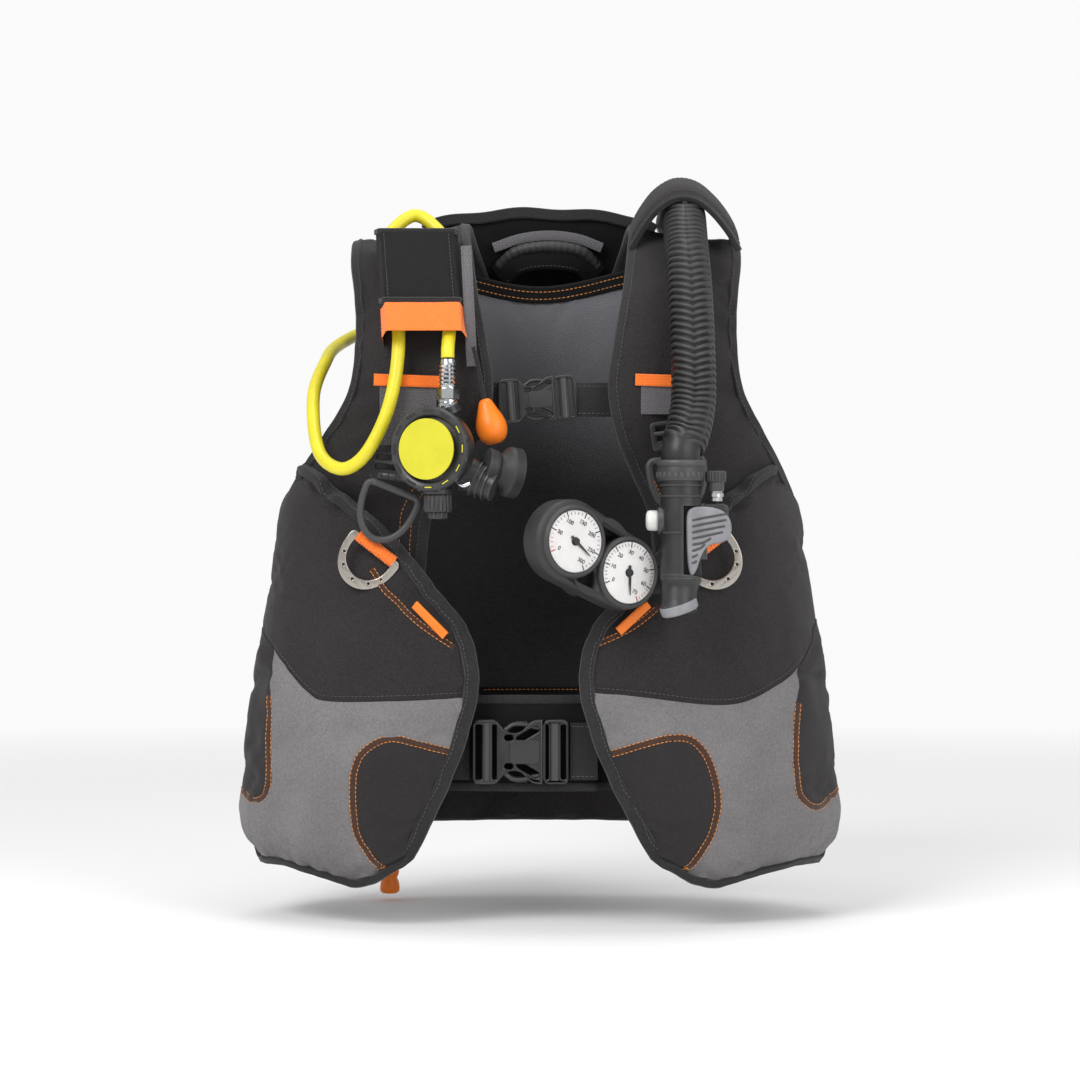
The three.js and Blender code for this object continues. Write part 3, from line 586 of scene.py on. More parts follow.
# The top line of each pocket, the side insets and the front insets: degrees round the body, and height.
POCKET_TOP = {-1: [(10, -149), (28, -153), (44, -154), (50, -146), (64, -113), (79, -97), (98, -90)],
              1: [(8, -145), (19, -149), (32, -156), (41, -155), (50, -143), (60, -126), (76, -92),
                  (98, -84)]}
SIDE_INSET = {-1: [(65, -109), (61.5, -150), (59.5, -208), (61, -230), (67, -242), (81, -235), (99, -222)],
              1: [(60, -122), (56, -156), (53.8, -191), (54.3, -226), (57.5, -241), (63, -247), (71, -241),
                  (90, -220), (99, -205)]}
FRONT_INSET = {-1: [(13, -200), (22, -189), (27, -184), (31, -188), (34.5, -202), (35.5, -228), (35, -262),
                    (33, -287), (31, -316)],
               1: [(11, -200), (20, -187), (25.3, -183), (29, -187), (32, -206), (33.6, -236), (32.6, -261),
                   (30.5, -286), (28, -316)]}
ZIP_SEAM = {-1: [(36, -42), (31, -64), (25, -85), (17, -108)], 1: [(8, -112), (17.5, -93), (24, -74)]}


def table(rows, at, soft=12):
    """A value read from [height, value] rows, with its corners rounded over a length of soft."""
    x, y = zip(*rows)
    return (np.interp(at - soft, x, y) + 2 * np.interp(at, x, y) + np.interp(at + soft, x, y)) / 4


def skin(theta, z, inset=0.0):
    """The outer skin: theta is 0 at the front and 90 degrees at the wearer's left side."""
    w, d = table(HALF_WIDTH, z) - inset, table(HALF_DEPTH, z) - inset
    return np.stack([w * np.sin(theta), BODY_Y - d * np.cos(theta), z + 0 * theta], -1)


def wearer_side(points, side):
    out = np.array(points, float)
    out[..., 0] *= side
    return out


def lobe_start(z, side):
    """The angle at which a lobe's front edge stands; the right lobe opens a little wider."""
    x = table(LOBE_EDGE, z, 4)
    if side < 0:
        x = x + 19 * (1 - (x - 35) / 225)
    return np.arcsin(np.clip(x / table(HALF_WIDTH, z), -1, 1))


def fullness(u, v, reach=0.16):
    """0 along the rim of a grid, rising to 1 inside it."""
    return ease(np.minimum(np.minimum(u, 1 - u), np.minimum(v * 1.2, (1 - v) * 1.4)) / reach)


def grid(nu, nv):
    return np.meshgrid(np.linspace(0, 1, nu + 1), np.linspace(0, 1, nv + 1))


def finer(a, k):
    """A grid of points with k times as many steps both ways, on a smooth surface through the old ones."""
    for axis in (0, 1):
        a = np.swapaxes(a, 0, axis)
        n = len(a)
        t = np.linspace(0, n - 1, (n - 1) * k + 1)
        i = np.minimum(t.astype(int), n - 2)
        f = (t - i).reshape(-1, *[1] * (a.ndim - 1))
        a = smooth_step(a[np.maximum(i - 1, 0)], a[i], a[i + 1], a[np.minimum(i + 2, n - 1)], f)
        a = np.swapaxes(a, 0, axis)
    return a


def normals_of(a):
    return unit(np.cross(np.gradient(a, axis=1), np.gradient(a, axis=0)))


def sideways(path, normals):
    """The direction across a path at each of its points."""
    return unit(np.cross(normals, unit(np.gradient(path, axis=0))))


def outward(path):
    """Level directions away from the body's upright axis."""
    return unit(path * np.array([1, 1, 0]) - np.array([0, BODY_Y, 0]))


def frontward(count):
    return np.tile([0, -1.0, 0], (count, 1))


def puff(outer, inner, pressure=4.0, cap=8.0, growth=0.02, frames=20):
    """Fills a closed sheet with air by cloth simulation, its rim held; no point moves further than cap."""
    verts, faces = closed_sheet(outer, inner)
    ob = new_object("puff", new_mesh("puff", verts, faces))
    rows, cols = outer.shape[:2]
    rim = [j * cols + i for j in range(rows) for i in range(cols)
           if j in (0, rows - 1) or i in (0, cols - 1)]
    held = ob.vertex_groups.new(name="held")
    held.add(rim + [i + rows * cols for i in rim], 1.0, "REPLACE")
    cloth = ob.modifiers.new("cloth", "CLOTH")
    s = cloth.settings
    s.quality = 6
    s.mass = 0.3
    s.use_pressure = True
    s.uniform_pressure_force = pressure
    s.vertex_group_mass = "held"
    s.shrink_min = -growth
    s.effector_weights.gravity = 0
    s.bending_stiffness = 0.3
    cloth.point_cache.frame_start, cloth.point_cache.frame_end = 1, frames
    scene = bpy.context.scene
    for f in range(1, frames + 1):
        scene.frame_set(f)
    done = ob.evaluated_get(bpy.context.evaluated_depsgraph_get())
    after = np.array([v.co for v in done.data.vertices]) / MM
    scene.frame_set(1)
    bpy.data.objects.remove(ob)
    move = after - verts
    far = np.linalg.norm(move, axis=1, keepdims=True)
    after = verts + move * np.minimum(1, cap / np.maximum(far, 1e-6))
    n = rows * cols
    return after[:n].reshape(outer.shape), after[n:].reshape(inner.shape)


def rough_cloth(points, amount, scale, seed):
    """Small folds: noise along the surface's own normals, in millimetres."""
    flat = points.reshape(-1, 3)
    n = normals_of(points).reshape(-1, 3)
    shift = Vector((seed * 7.3, seed * 3.1, seed * 5.7))

    def folds(size):
        return np.array([noise.noise(Vector(p) / size + shift) for p in flat])

    lift = folds(scale) + 0.5 * folds(scale * 0.45)
    return (flat + n * (lift * amount)[:, None]).reshape(points.shape)


class Surface:
    """A finished skin that other pieces are laid on, found by looking in from outside the body."""

    def __init__(self, *grids):
        verts, faces, start = [], [], 0
        for g in grids:
            verts.append(g.reshape(-1, 3))
            faces += grid_faces(g.shape[0], g.shape[1], start)
            start += g.shape[0] * g.shape[1]
        self.tree = BVHTree.FromPolygons(np.vstack(verts).tolist(), faces)

    def at(self, theta, z, side):
        """The point and outward normal of the skin at an angle and height."""
        a = wearer_side(skin(np.array(theta), np.array(float(z)), -60), side)
        b = wearer_side(skin(np.array(theta), np.array(float(z)), 60), side)
        return self.toward(a, b - a)

    def toward(self, start, direction):
        direction = Vector(direction).normalized()
        hit, normal, _, _ = self.tree.ray_cast(Vector(start), direction, 400)
        if hit is None:
            hit, normal, _, _ = self.tree.find_nearest(Vector(start) + direction * 60)
        if normal.dot(direction) > 0:
            normal = -normal
        return np.array(hit), np.array(normal)

    def path(self, points, side):
        """A smooth path laid on the skin through (degrees, height) points, with its normals."""
        length = length_of(flat_line(points, 60))
        found = [self.at(a / FLAT, z, side) for a, z in flat_line(points, max(4, int(length / PATH_STEP)))]
        n = np.array([f[1] for f in found])
        for _ in range(3):
            n[1:-1] = (n[:-2] + n[1:-1] * 2 + n[2:]) / 4
        return np.array([f[0] for f in found]), unit(n)


STITCH, STITCH_GAP = 2.6, 1.3


def stitches(shape, path, normals, width=0.8, height=0.55, mat=0, off=0.0, lift=0.25):
    """A row of sewn stitches, one small rounded bar each, beside a path."""
    s = lengths_along(path)
    line = path + sideways(path, normals) * off + normals * lift
    cross = [(-0.5, 0), (-0.3, 0.7), (0.3, 0.7), (0.5, 0), (0, -0.6)]
    for a in np.arange(STITCH_GAP, s[-1] - STITCH, STITCH + STITCH_GAP):
        ends = [[np.interp(a + d, s, line[:, k]) for k in range(3)] for d in (0, STITCH / 2, STITCH)]
        ends = np.array(ends)
        mid = np.array([np.interp(a, s, normals[:, k]) for k in range(3)])
        t = unit(ends[-1] - ends[0])
        w = unit(np.cross(mid, t))
        rings = []
        for p, k in zip(ends, (0.55, 1.0, 0.55)):
            rings += [p + w * width * x * k + unit(mid) * height * y * k for x, y in cross]
        faces = grid_faces(3, 5, wrap=True) + [(4, 3, 2, 1, 0), (10, 11, 12, 13, 14)]
        shape.add((np.array(rings), faces), mat)


def tape_profile(width, thick):
    """Folded edge tape: across from the edge inwards, out along the normal."""
    w, t = width, thick / 2
    upper = [(w, t), (w - 0.8, t + 0.8), (0.5, t + 1.0), (-1.2, t * 0.6 + 0.3)]
    return upper + [(-1.7, 0)] + [(x, -y) for x, y in reversed(upper)]


def taped(edge, normals, inward, width, thick):
    """Folded tape over an edge, and the side of the edge on which the cloth lies: 1 or -1."""
    middle = len(edge) // 2
    toward = 1 if (sideways(edge, normals)[middle] * inward[middle]).sum() > 0 else -1
    profile = [(x * toward, y) for x, y in tape_profile(width, thick)]
    return Shape().add(sweep(edge, normals, profile)), toward


def edge_normals(edge, inward):
    """Normals of the cloth along its edge, facing away from the body."""
    n = unit(np.cross(unit(np.gradient(edge, axis=0)), inward))
    middle = len(edge) // 2
    return -n if (n * outward(edge))[middle].sum() < 0 else n


def signed(points, line, inside):
    """Distance in millimetres from flat points to a line of points; negative where inside says so."""
    line = np.asarray(line, float)
    best = np.full(points.shape[:-1], 1e9)
    for a, b in zip(line, line[1:]):
        ab = b - a
        t = np.clip(((points - a) @ ab) / max(ab @ ab, 1e-9), 0, 1)
        best = np.minimum(best, np.linalg.norm(points - a - t[..., None] * ab, axis=-1))
    return np.where(inside, -best, best)


def within(points, polygon):
    """Which flat points lie inside a polygon."""
    x, y = points[..., 0], points[..., 1]
    inside = np.zeros(x.shape, bool)
    for (x0, y0), (x1, y1) in zip(polygon, polygon[1:] + polygon[:1]):
        cross = (y0 > y) != (y1 > y)
        inside ^= cross & (x < (x1 - x0) * (y - y0) / (y1 - y0 + 1e-12) + x0)
    return inside


def flat_line(points, count=80):
    """A smooth line through (degrees, height) points, on the skin rolled out flat."""
    return spline([(degrees * RAD * FLAT, height) for degrees, height in points], count)


def fine_folds(flat, across, up, seed):
    """Noise over a flat grid of points, with folds of the given width and height."""
    spots = flat.reshape(-1, 2)
    return np.array([noise.noise(Vector((a / across, b / up, seed)))
                     for a, b in spots]).reshape(flat.shape[:-1])


NAMES = {-1: "right", 1: "left"}


def lobe_shell(side):
    """The front lobe, puffed up with air; gives the grids of its outer and inner skin."""
    u, v = grid(30, 46)
    z = lerp(np.interp(u, *zip(*LOBE_BOTTOM)), LOBE_TOP, v)
    theta = lerp(lobe_start(z, side), SEAM, u**1.15)
    full = fullness(u, v)
    outer = skin(theta, z, lerp(7, 0, full))
    inner = skin(theta, z, lerp(11, 21, full))
    outer, inner = puff(outer, inner, pressure=4, cap=6, growth=0.015)
    outer, inner, flat = finer(outer, 3), finer(inner, 3), finer(np.stack([theta * FLAT, z], -1), 3)
    outer = rough_cloth(outer, 0.9, 34, side)
    # The zip seam is a shallow crease.
    crease = signed(flat, flat_line(ZIP_SEAM[side]), False)
    outer -= normals_of(outer) * (0.9 * np.exp(-(crease / 1.6) ** 2))[..., None]
    outer, inner = wearer_side(outer, side), wearer_side(inner, side)
    name = NAMES[side]
    Shape().add(closed_sheet(outer, inner)).piece(
        name + "_lobe_shell", nylon, "vest", [name + "_lobe"], "nylon", sharp=60)
    return outer, inner


def pocket_face(side, lobe):
    """The cargo pocket on the lower lobe, from the hem up to its slanting top line; gives its outer skin."""
    u, v = grid(96, 64)
    long, high = 210, 160        # about how far the pocket reaches round the body, and up
    low = np.interp(u, *zip(*LOBE_BOTTOM)) + 5
    top_line = flat_line(POCKET_TOP[side], 200)
    rough_theta = lerp(lobe_start(lerp(low, -150, v), side), SEAM - 0.5 * RAD, u**1.1)
    z = lerp(low, np.interp(rough_theta * FLAT, *top_line.T), v)
    theta = lerp(lobe_start(z, side) + 1.5 / FLAT, SEAM - 0.5 * RAD, u**1.1)
    z = lerp(low, np.interp(theta * FLAT, *top_line.T), v)
    flat = np.stack([theta * FLAT, z], -1)
    front, back = flat_line(FRONT_INSET[side]), flat_line(SIDE_INSET[side])
    in_front = within(flat, [tuple(p) for p in front] + [(-50, -330), (-50, -200)])
    in_side = within(flat, [tuple(p) for p in back] + [(440, -50), (back[0][0], -50)])
    d_front, d_side = signed(flat, front, in_front), signed(flat, back, in_side)
    field = np.where(np.abs(d_front) < np.abs(d_side), d_front, d_side)
    field = np.where(in_front | in_side, -np.abs(field), np.abs(field))
    # It stands out within 16 mm of its rim, and dips along the panel seams.
    rim = np.minimum(np.minimum(u * long, (1 - u) * 60), np.minimum(v, 1 - v) * high)
    lift = 1.0 + 4.2 * ease(rim / 16)
    found = np.array([lobe.at(a, h, side) for a, h in zip(theta.ravel(), z.ravel())])
    base, normal = (found[:, k].reshape(*u.shape, 3) for k in (0, 1))
    for _ in range(4):
        normal[1:-1, 1:-1] = (normal[:-2, 1:-1] + normal[2:, 1:-1] + normal[1:-1, :-2]
                              + normal[1:-1, 2:]) / 4
    normal = unit(normal)
    pucker = fine_folds(flat, 9, 22, side * 3)
    hem = np.exp(-((v * high - 14) / 14) ** 2)
    folds = fine_folds(flat, 46, 60, 5 + side)
    groove = 1.1 * np.exp(-(field / 2.0) ** 2)
    lift = lift + pucker * hem * 2.2 + folds * 1.6 * ease(rim / 16) - groove
    face = base + normal * lift[..., None]
    shape = Shape().add(closed_sheet(face, base + normal * 0.2))
    shape.piece(NAMES[side] + "_cargo_pocket", two_tone, "vest", [NAMES[side] + "_pocket"], "grey_nylon",
                sharp=60, fields={"panel": np.tile(field.ravel(), 2)})
    return face


def sewn_strip(name, path, n, width, thick, off, lift):
    """Brown piping laid on the cloth, sewn down with orange thread on both sides."""
    shape = Shape().add(sweep(path, n, strap_profile(width, thick)))
    for across in (-off, off):
        stitches(shape, path, n, mat=1, off=across, lift=lift)
    shape.piece(name, [piping, thread], "vest", slot="nylon")


def front_lobe(side):
    """A front lobe with its pocket, piping, edge tapes, zip seam and pocket seam."""
    name = NAMES[side]
    outer, inner = lobe_shell(side)
    lobe = Surface(outer)
    pocket = Surface(pocket_face(side, lobe))
    for label, line in (("side", SIDE_INSET[side][1:-1]), ("front", FRONT_INSET[side])):
        path, n = pocket.path(line, side)
        above_hem = path[:, 2] > -306
        sewn_strip(f"{name}_{label}_piping", path[above_hem], n[above_hem], 6.0, 1.3, 2.6, 0.75)

    edge = spline((outer[:, 0] + inner[:, 0]) / 2, 150)
    inward = spline(outer[:, 4], 150) - edge
    n = edge_normals(edge, inward)
    shape, toward = taped(edge, n, inward, 11.5, 6.5)
    stitches(shape, edge, n, mat=1, off=9.6 * toward, lift=4.4, width=0.6)
    shape.piece(name + "_front_edge_tape", [binding_tape, black_thread], "vest", slot="nylon")
    hem = spline((outer[0] + inner[0]) / 2, 150)
    inward = spline(outer[4], 150) - hem
    shape, _ = taped(hem, edge_normals(hem, inward), inward, 6, 6.5)
    shape.piece(name + "_hem_tape", binding_tape, "vest", slot="nylon")

    sewn_strip(name + "_zip_seam", *lobe.path(ZIP_SEAM[side], side), 5.0, 1.6, 2.0, 0.85)
    path, n = lobe.path([(degrees, z + 4.5) for degrees, z in POCKET_TOP[side][:-1]], side)
    shape = Shape()
    stitches(shape, path, n, lift=0.3, width=0.5)
    shape.piece(name + "_pocket_seam", black_thread, "vest", slot="nylon")


for side in NAMES:
    front_lobe(side)


# ---- yokes ----
# The line of the yoke: its Y and Z, and the sideways reach of its inner and outer edge.
YOKE = [(-44, 180, 62, 158), (-52, 200, 60, 165), (-62, 222, 66, 168), (-90, 241, 74, 172),
        (-130, 247, 78, 173), (-170, 241, 79, 173), (-205, 221, 76, 172), (-232, 190, 71, 168),
        (-248, 150, 64, 167), (-254, 110, 59, 172), (-253, 70, 66, 193), (-246, 35, 80, 212),
        (-240, 8, 92, 222), (-236, -20, 97, 214), (-233, -58, 100, 196)]
YOKE_TAIL = 22                       # how far the yoke's line runs before it reaches the shoulder
YOKE_THICK = 9
CHEST_WIDTH, CHEST_DEPTH = 226, 118  # the oval that the front of the yoke bends round
CELL_WIDTH, CELL_DEPTH = 216, 116    # the oval of the air cell that its tail is sewn to


def yoke_grid(side, inset):
    """A shoulder yoke from the back, over the shoulder and down behind the lobe."""
    rows, cols = 56, 14
    line = spline(YOKE, rows)
    t, u = np.meshgrid(np.linspace(0, 1, rows), np.linspace(0, 1, cols), indexing="ij")
    y, z = line[:, 0][:, None] + 0 * u, line[:, 1][:, None] + 0 * u
    x = lerp(line[:, 2][:, None], line[:, 3][:, None], u)
    along = t * length_of(line[:, :2]) - YOKE_TAIL
    chest = ease((along - 123) / 123)
    top = ease(1 - np.abs(along - 114) / 104)
    y = y + (math.sqrt(0.76) - np.sqrt(np.maximum(0.02, 1 - (x / CHEST_WIDTH) ** 2))) * CHEST_DEPTH * chest
    z = z + top * 15 * (1 - u) ** 2
    if side < 0:
        x = x - 18 * ease(z / 90) * (1 - (x - 60) / 260)
    # The tail is sewn flat onto the back air cell.
    sewn = (1 - ease((z - 182) / 34)) * (along < 40)
    behind = BODY_Y + CELL_DEPTH * np.sqrt(np.maximum(0.05, 1 - (x / CELL_WIDTH) ** 2)) + 5
    y = lerp(y, behind, sewn)
    tangent = unit(np.gradient(line[:, :2], axis=0))
    edge = 1 - ease(np.minimum(u, 1 - u) / 0.12)
    deep = np.where(inset > 0, inset - 2 * edge, 2 * edge)
    y = y - tangent[:, 1][:, None] * deep
    z = z + tangent[:, 0][:, None] * deep
    return np.stack([x * side, y, z], -1)


def shoulder_yoke(side):
    """A padded shoulder yoke with tape along both edges; gives the grid of its outer skin."""
    name = NAMES[side]
    outer, inner = puff(yoke_grid(side, 0), yoke_grid(side, YOKE_THICK), pressure=3, cap=3.5, growth=0.01)
    outer, inner = rough_cloth(finer(outer, 2), 0.7, 30, side + 4), finer(inner, 2)
    Shape().add(closed_sheet(outer, inner)).piece(
        name + "_yoke_panel", nylon, "vest", [name + "_shoulder_yoke"], "nylon", sharp=60)
    for label, column, inner_column in (("inner", 0, 3), ("outer", -1, -4)):
        edge = spline((outer[:, column] + inner[:, column]) / 2, 160)
        inward = spline(outer[:, inner_column], 160) - edge
        n = normals_of(outer)[:, column]
        at, known = np.linspace(0, 1, 160), np.linspace(0, 1, len(n))
        n = unit(np.stack([np.interp(at, known, n[:, k]) for k in range(3)], -1))
        out = spline((outer[:, column] - inner[:, column]), 160)
        n = np.where(((n * out).sum(-1) < 0)[:, None], -n, n)
        shape, toward = taped(edge, n, inward, 8, 5.5)
        stitches(shape, edge, n, mat=1, off=6.6 * toward, lift=3.9, width=0.5)
        shape.piece(f"{name}_yoke_{label}_tape", [binding_tape, black_thread], "vest", slot="nylon")
    return outer


yoke_grids = {side: shoulder_yoke(side) for side in NAMES}
right_yoke = Surface(yoke_grids[-1])

# ---- back ----
# The back cell's height and its half width there.
BACK_HALF = [(-272, 246), (-200, 254), (-90, 243), (0, 227), (40, 213), (62, 196), (85, 182), (120, 171),
             (190, 164)]


def back_grid(u, v, inset):
    """The back air cell between the two lobes, narrowing above the arm openings."""
    z = lerp(BACK_HALF[0][0], BACK_HALF[-1][0], v)
    w = table(HALF_WIDTH, z)
    side_half = math.pi - 98.6 * RAD     # just behind the seam with the lobes
    open_half = np.arcsin(np.minimum(1, np.interp(z, *zip(*BACK_HALF)) / w))
    half = np.where(z > LOBE_TOP - 2, np.minimum(open_half, side_half), side_half)
    return skin(math.pi + lerp(-1, 1, u) * half, z, inset)


u, v = grid(44, 44)
full = fullness(u, v)
outer, inner = back_grid(u, v, lerp(4, 0, full)), back_grid(u, v, lerp(16, 24, full))
outer, inner = puff(outer, inner, pressure=4, cap=7, growth=0.015)
outer, inner = rough_cloth(finer(outer, 2), 1.2, 42, 9), rough_cloth(finer(inner, 2), 1.4, 30, 10)
Shape().add(closed_sheet(outer, inner)).piece("back_air_cell", nylon, "vest", ["back_bladder"], "nylon",
                                              sharp=60)
back_skin = Surface(outer)
for label, row, column in (("hem", 0, None), ("right_arm", None, 0), ("left_arm", None, -1)):
    if row is not None:
        edge, other = (outer[row] + inner[row]) / 2, outer[3]
    else:
        edge, other = (outer[:, column] + inner[:, column]) / 2, outer[:, 3 if column == 0 else -4]
    edge, other = spline(edge, 170), spline(other, 170)
    shape, _ = taped(edge, edge_normals(edge, other - edge), other - edge, 8, 9)
    shape.piece(f"back_{label}_tape", binding_tape, "vest", slot="nylon")


PAD_LOW, PAD_TOP = -205, 224


def pad_grid(u, v, inset):
    """The inner pad against the wearer's back, wide at the waist, with a dip in its top edge."""
    high = PAD_TOP - 16 * np.sin(math.pi * u) ** 2
    z = lerp(PAD_LOW, high, v)
    half = lerp(52, 38, ease((z + 60) / 200)) * RAD
    return skin(math.pi + lerp(-1, 1, u) * half, z, inset)


u, v = grid(40, 52)
full = fullness(u, v, 0.1)
outer = pad_grid(u, v, lerp(56, 47, full))
inner = pad_grid(u, v, lerp(57, 63, full))
outer, inner = puff(outer, inner, pressure=3, cap=5, growth=0.01)
outer, inner = finer(outer, 2), rough_cloth(finer(inner, 2), 1.0, 60, 12)
Shape().add(closed_sheet(outer, inner)).piece("inner_back_pad", back_mesh_painted_shade, "vest", ["back_pad"], "padding",
                                              sharp=60)
pad_skin = Surface(inner)
rim = spline((outer[-1] + inner[-1]) / 2, 120)
n = unit(np.cross(unit(np.gradient(rim, axis=0)), np.array([0, 0, 1.0])))
n = np.where((n[:, 1] > 0)[:, None], -n, n)
shape, toward = taped(rim, n, np.tile([0, 0, -1.0], (120, 1)), 14, 10)
for off in (4, 10.5):
    stitches(shape, rim, n, mat=1, off=off * toward, lift=6.0, width=0.8)
shape.piece("pad_top_band", [lining, thread], "vest", slot="nylon")

# ---- collar ----
u, v = grid(40, 30)
x = lerp(-104, 104, u)
z = lerp(186, 262 + 15 * np.sin(math.pi * u) ** 0.55 + 1.2 * np.sin(u * 19), v)
y = -48 - 20 * ease((z - 199) / 70)
front = np.stack([x, y - 9, z], -1)
rear = np.stack([x, y, z], -1)
front = rough_cloth(front, 1.4, 26, 20)
shape = Shape().add(closed_sheet(rear, front))
rim = spline((front[-1] + rear[-1]) / 2, 90)
shape.add(sweep(rim, frontward(90), [(y, x) for x, y in tape_profile(9, 8)]), 1)
shape.piece("neck_panel", [lining, binding_tape], "vest", ["collar"], "nylon")

# ---- cummerbund and its waist band ----
WRAP_LOW, WRAP_HIGH = -229, -150
WRAP_TURN = (-12, 372)       # where it starts and ends round the body, in degrees
WRAP_INSET = (40, 31)        # how far inside the outer skin it lies at its start and end


def wrap_round(share, z, deeper):
    """A point of the wrap, which winds outwards as it goes round a little more than once."""
    return skin(lerp(*WRAP_TURN, share) * RAD, z, lerp(*WRAP_INSET, share) + deeper)


u, v = grid(239, 8)
z = lerp(WRAP_LOW, WRAP_HIGH, v)
outer, inner = wrap_round(u, z, -1.2 * np.sin(math.pi * v)), wrap_round(u, z, 3.5)
shape = Shape().add(closed_sheet(rough_cloth(outer, 0.8, 28, 30), inner))
for height in (WRAP_HIGH - 2.5, WRAP_LOW + 2.5):
    path = wrap_round(np.linspace(0, 1, 260), np.full(260, height), -0.6)
    shape.add(sweep(path, outward(path), strap_profile(7, 1.6)), 1)
shape.piece("waist_wrap", [lining, binding_tape], "vest", ["cummerbund"], "nylon")


# ---------------------------------------------------------------- straps, tabs and buckles
def node_box(node):
    """A CAD node's lowest corner, highest corner and middle, in millimetres."""
    lo, hi = (np.array(c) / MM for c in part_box(node))
    return lo, hi, (lo + hi) / 2


def facing(x, y, z, turn=0.0, scale=(1, 1, 1)):
    """Places a flat shape upright, its front towards -Y; turn is clockwise as the wearer's front is seen."""
    return put(x, y, z, rx=90, ry=turn, scale=scale)


def strap(name, points, normals, width, thick, material, body="vest", nodes=(), rows=(), sewn=black_thread):
    """A flat strap laid through points, with rows of stitches at the given offsets."""
    path = spline(points, 40)
    n = unit(spline(normals, 40))
    shape = Shape().add(sweep(path, n, strap_profile(width, thick)))
    for off in rows:
        stitches(shape, path, n, mat=1, off=off, lift=thick / 2 + 0.1, width=0.6, height=0.4)
    return shape.piece(name, [material, sewn], body, nodes, "webbing")


YOKE_CREST = 236     # the highest level at which a yoke can be met from the front
FLAP_START = 0.72    # how far from its middle the pad's side flaps begin, as a share


def wrapped_sheet(name, materials, x, z, y, thick, slant, back, crown, nodes, slot, hem=0.0, sag=0.0):
    """A pad or strap across the shoulder whose sides fold back round the hoses, down to the yoke."""
    u, v = grid(60, 24)
    across = np.clip((2 * u - 1) / FLAP_START, -1, 1)
    px = lerp(x[0], x[1], (across + 1) / 2) + slant * (1 - v)
    fold = ease((np.abs(across) - 0.86) / 0.14)
    py = lerp(y[0], y[1], v) + back * fold - crown * (1 - across ** 4) * np.sin(math.pi * v) ** 0.4
    side_flap = ease((np.abs(2 * u - 1) - FLAP_START) / (1 - FLAP_START))
    for j in range(len(v)):
        level = min(lerp(z[0], z[1], v[j, 0]), YOKE_CREST)
        for end, cells in ((0, slice(0, 30)), (-1, slice(31, 61))):
            hit, _ = right_yoke.toward((px[j, end], -330, level), (0, 1, 0))
            reach = max(0.0, hit[1] - 1 - py[j, end])
            py[j, cells] += reach * side_flap[j, cells]
    front = np.stack([px, py, lerp(z[0], z[1], v) - sag * (fold + side_flap)], -1)
    rear = front + np.array([0, thick, 0])
    shape = Shape().add(closed_sheet(rough_cloth(front, 0.35, 24, 3), rear))
    if hem:
        for row in (0, -1):
            edge = ((front[row] + rear[row]) / 2)[9:52]
            shape.add(sweep(edge, frontward(len(edge)), strap_profile(hem, thick + 1.4)), 1)
        for column in (13, 47):
            stitches(shape, front[:, column], frontward(len(front)), mat=2, lift=0.3, width=0.5)
    return shape.piece(name, materials, "vest", nodes, slot)


wrapped_sheet("hose_sleeve_pad", [sleeve_cloth, binding_tape, black_thread], x=(-141, -71), z=(184, 246),
              y=(-267, -228), thick=3.5, slant=6, back=12, crown=1.5, nodes=["octo_hose_sleeve"],
              slot="nylon", hem=5)
wrapped_sheet("sleeve_retainer", [orange_web], x=(-135, -63), z=(157, 182), y=(-286, -269),
              thick=2.0, slant=2, back=14, crown=1.0, nodes=["sleeve_retainer_strap"], slot="orange", sag=5)


def oval(x0, y0, x1, y1, r, steps=8):
    """The outline of a rounded slot between two points."""
    a = math.atan2(y1 - y0, x1 - x0)
    points = []
    for cx, cy, first in ((x1, y1, a - math.pi / 2), (x0, y0, a + math.pi / 2)):
        for k in range(steps + 1):
            t = first + math.pi * k / steps
            points.append((cx + r * math.cos(t), cy + r * math.sin(t)))
    return points


def mirrored(points):
    return [(x, -y) for x, y in reversed(points)]


BUCKLE_LONG, BUCKLE_HIGH, BUCKLE_THICK = 80, 54, 11


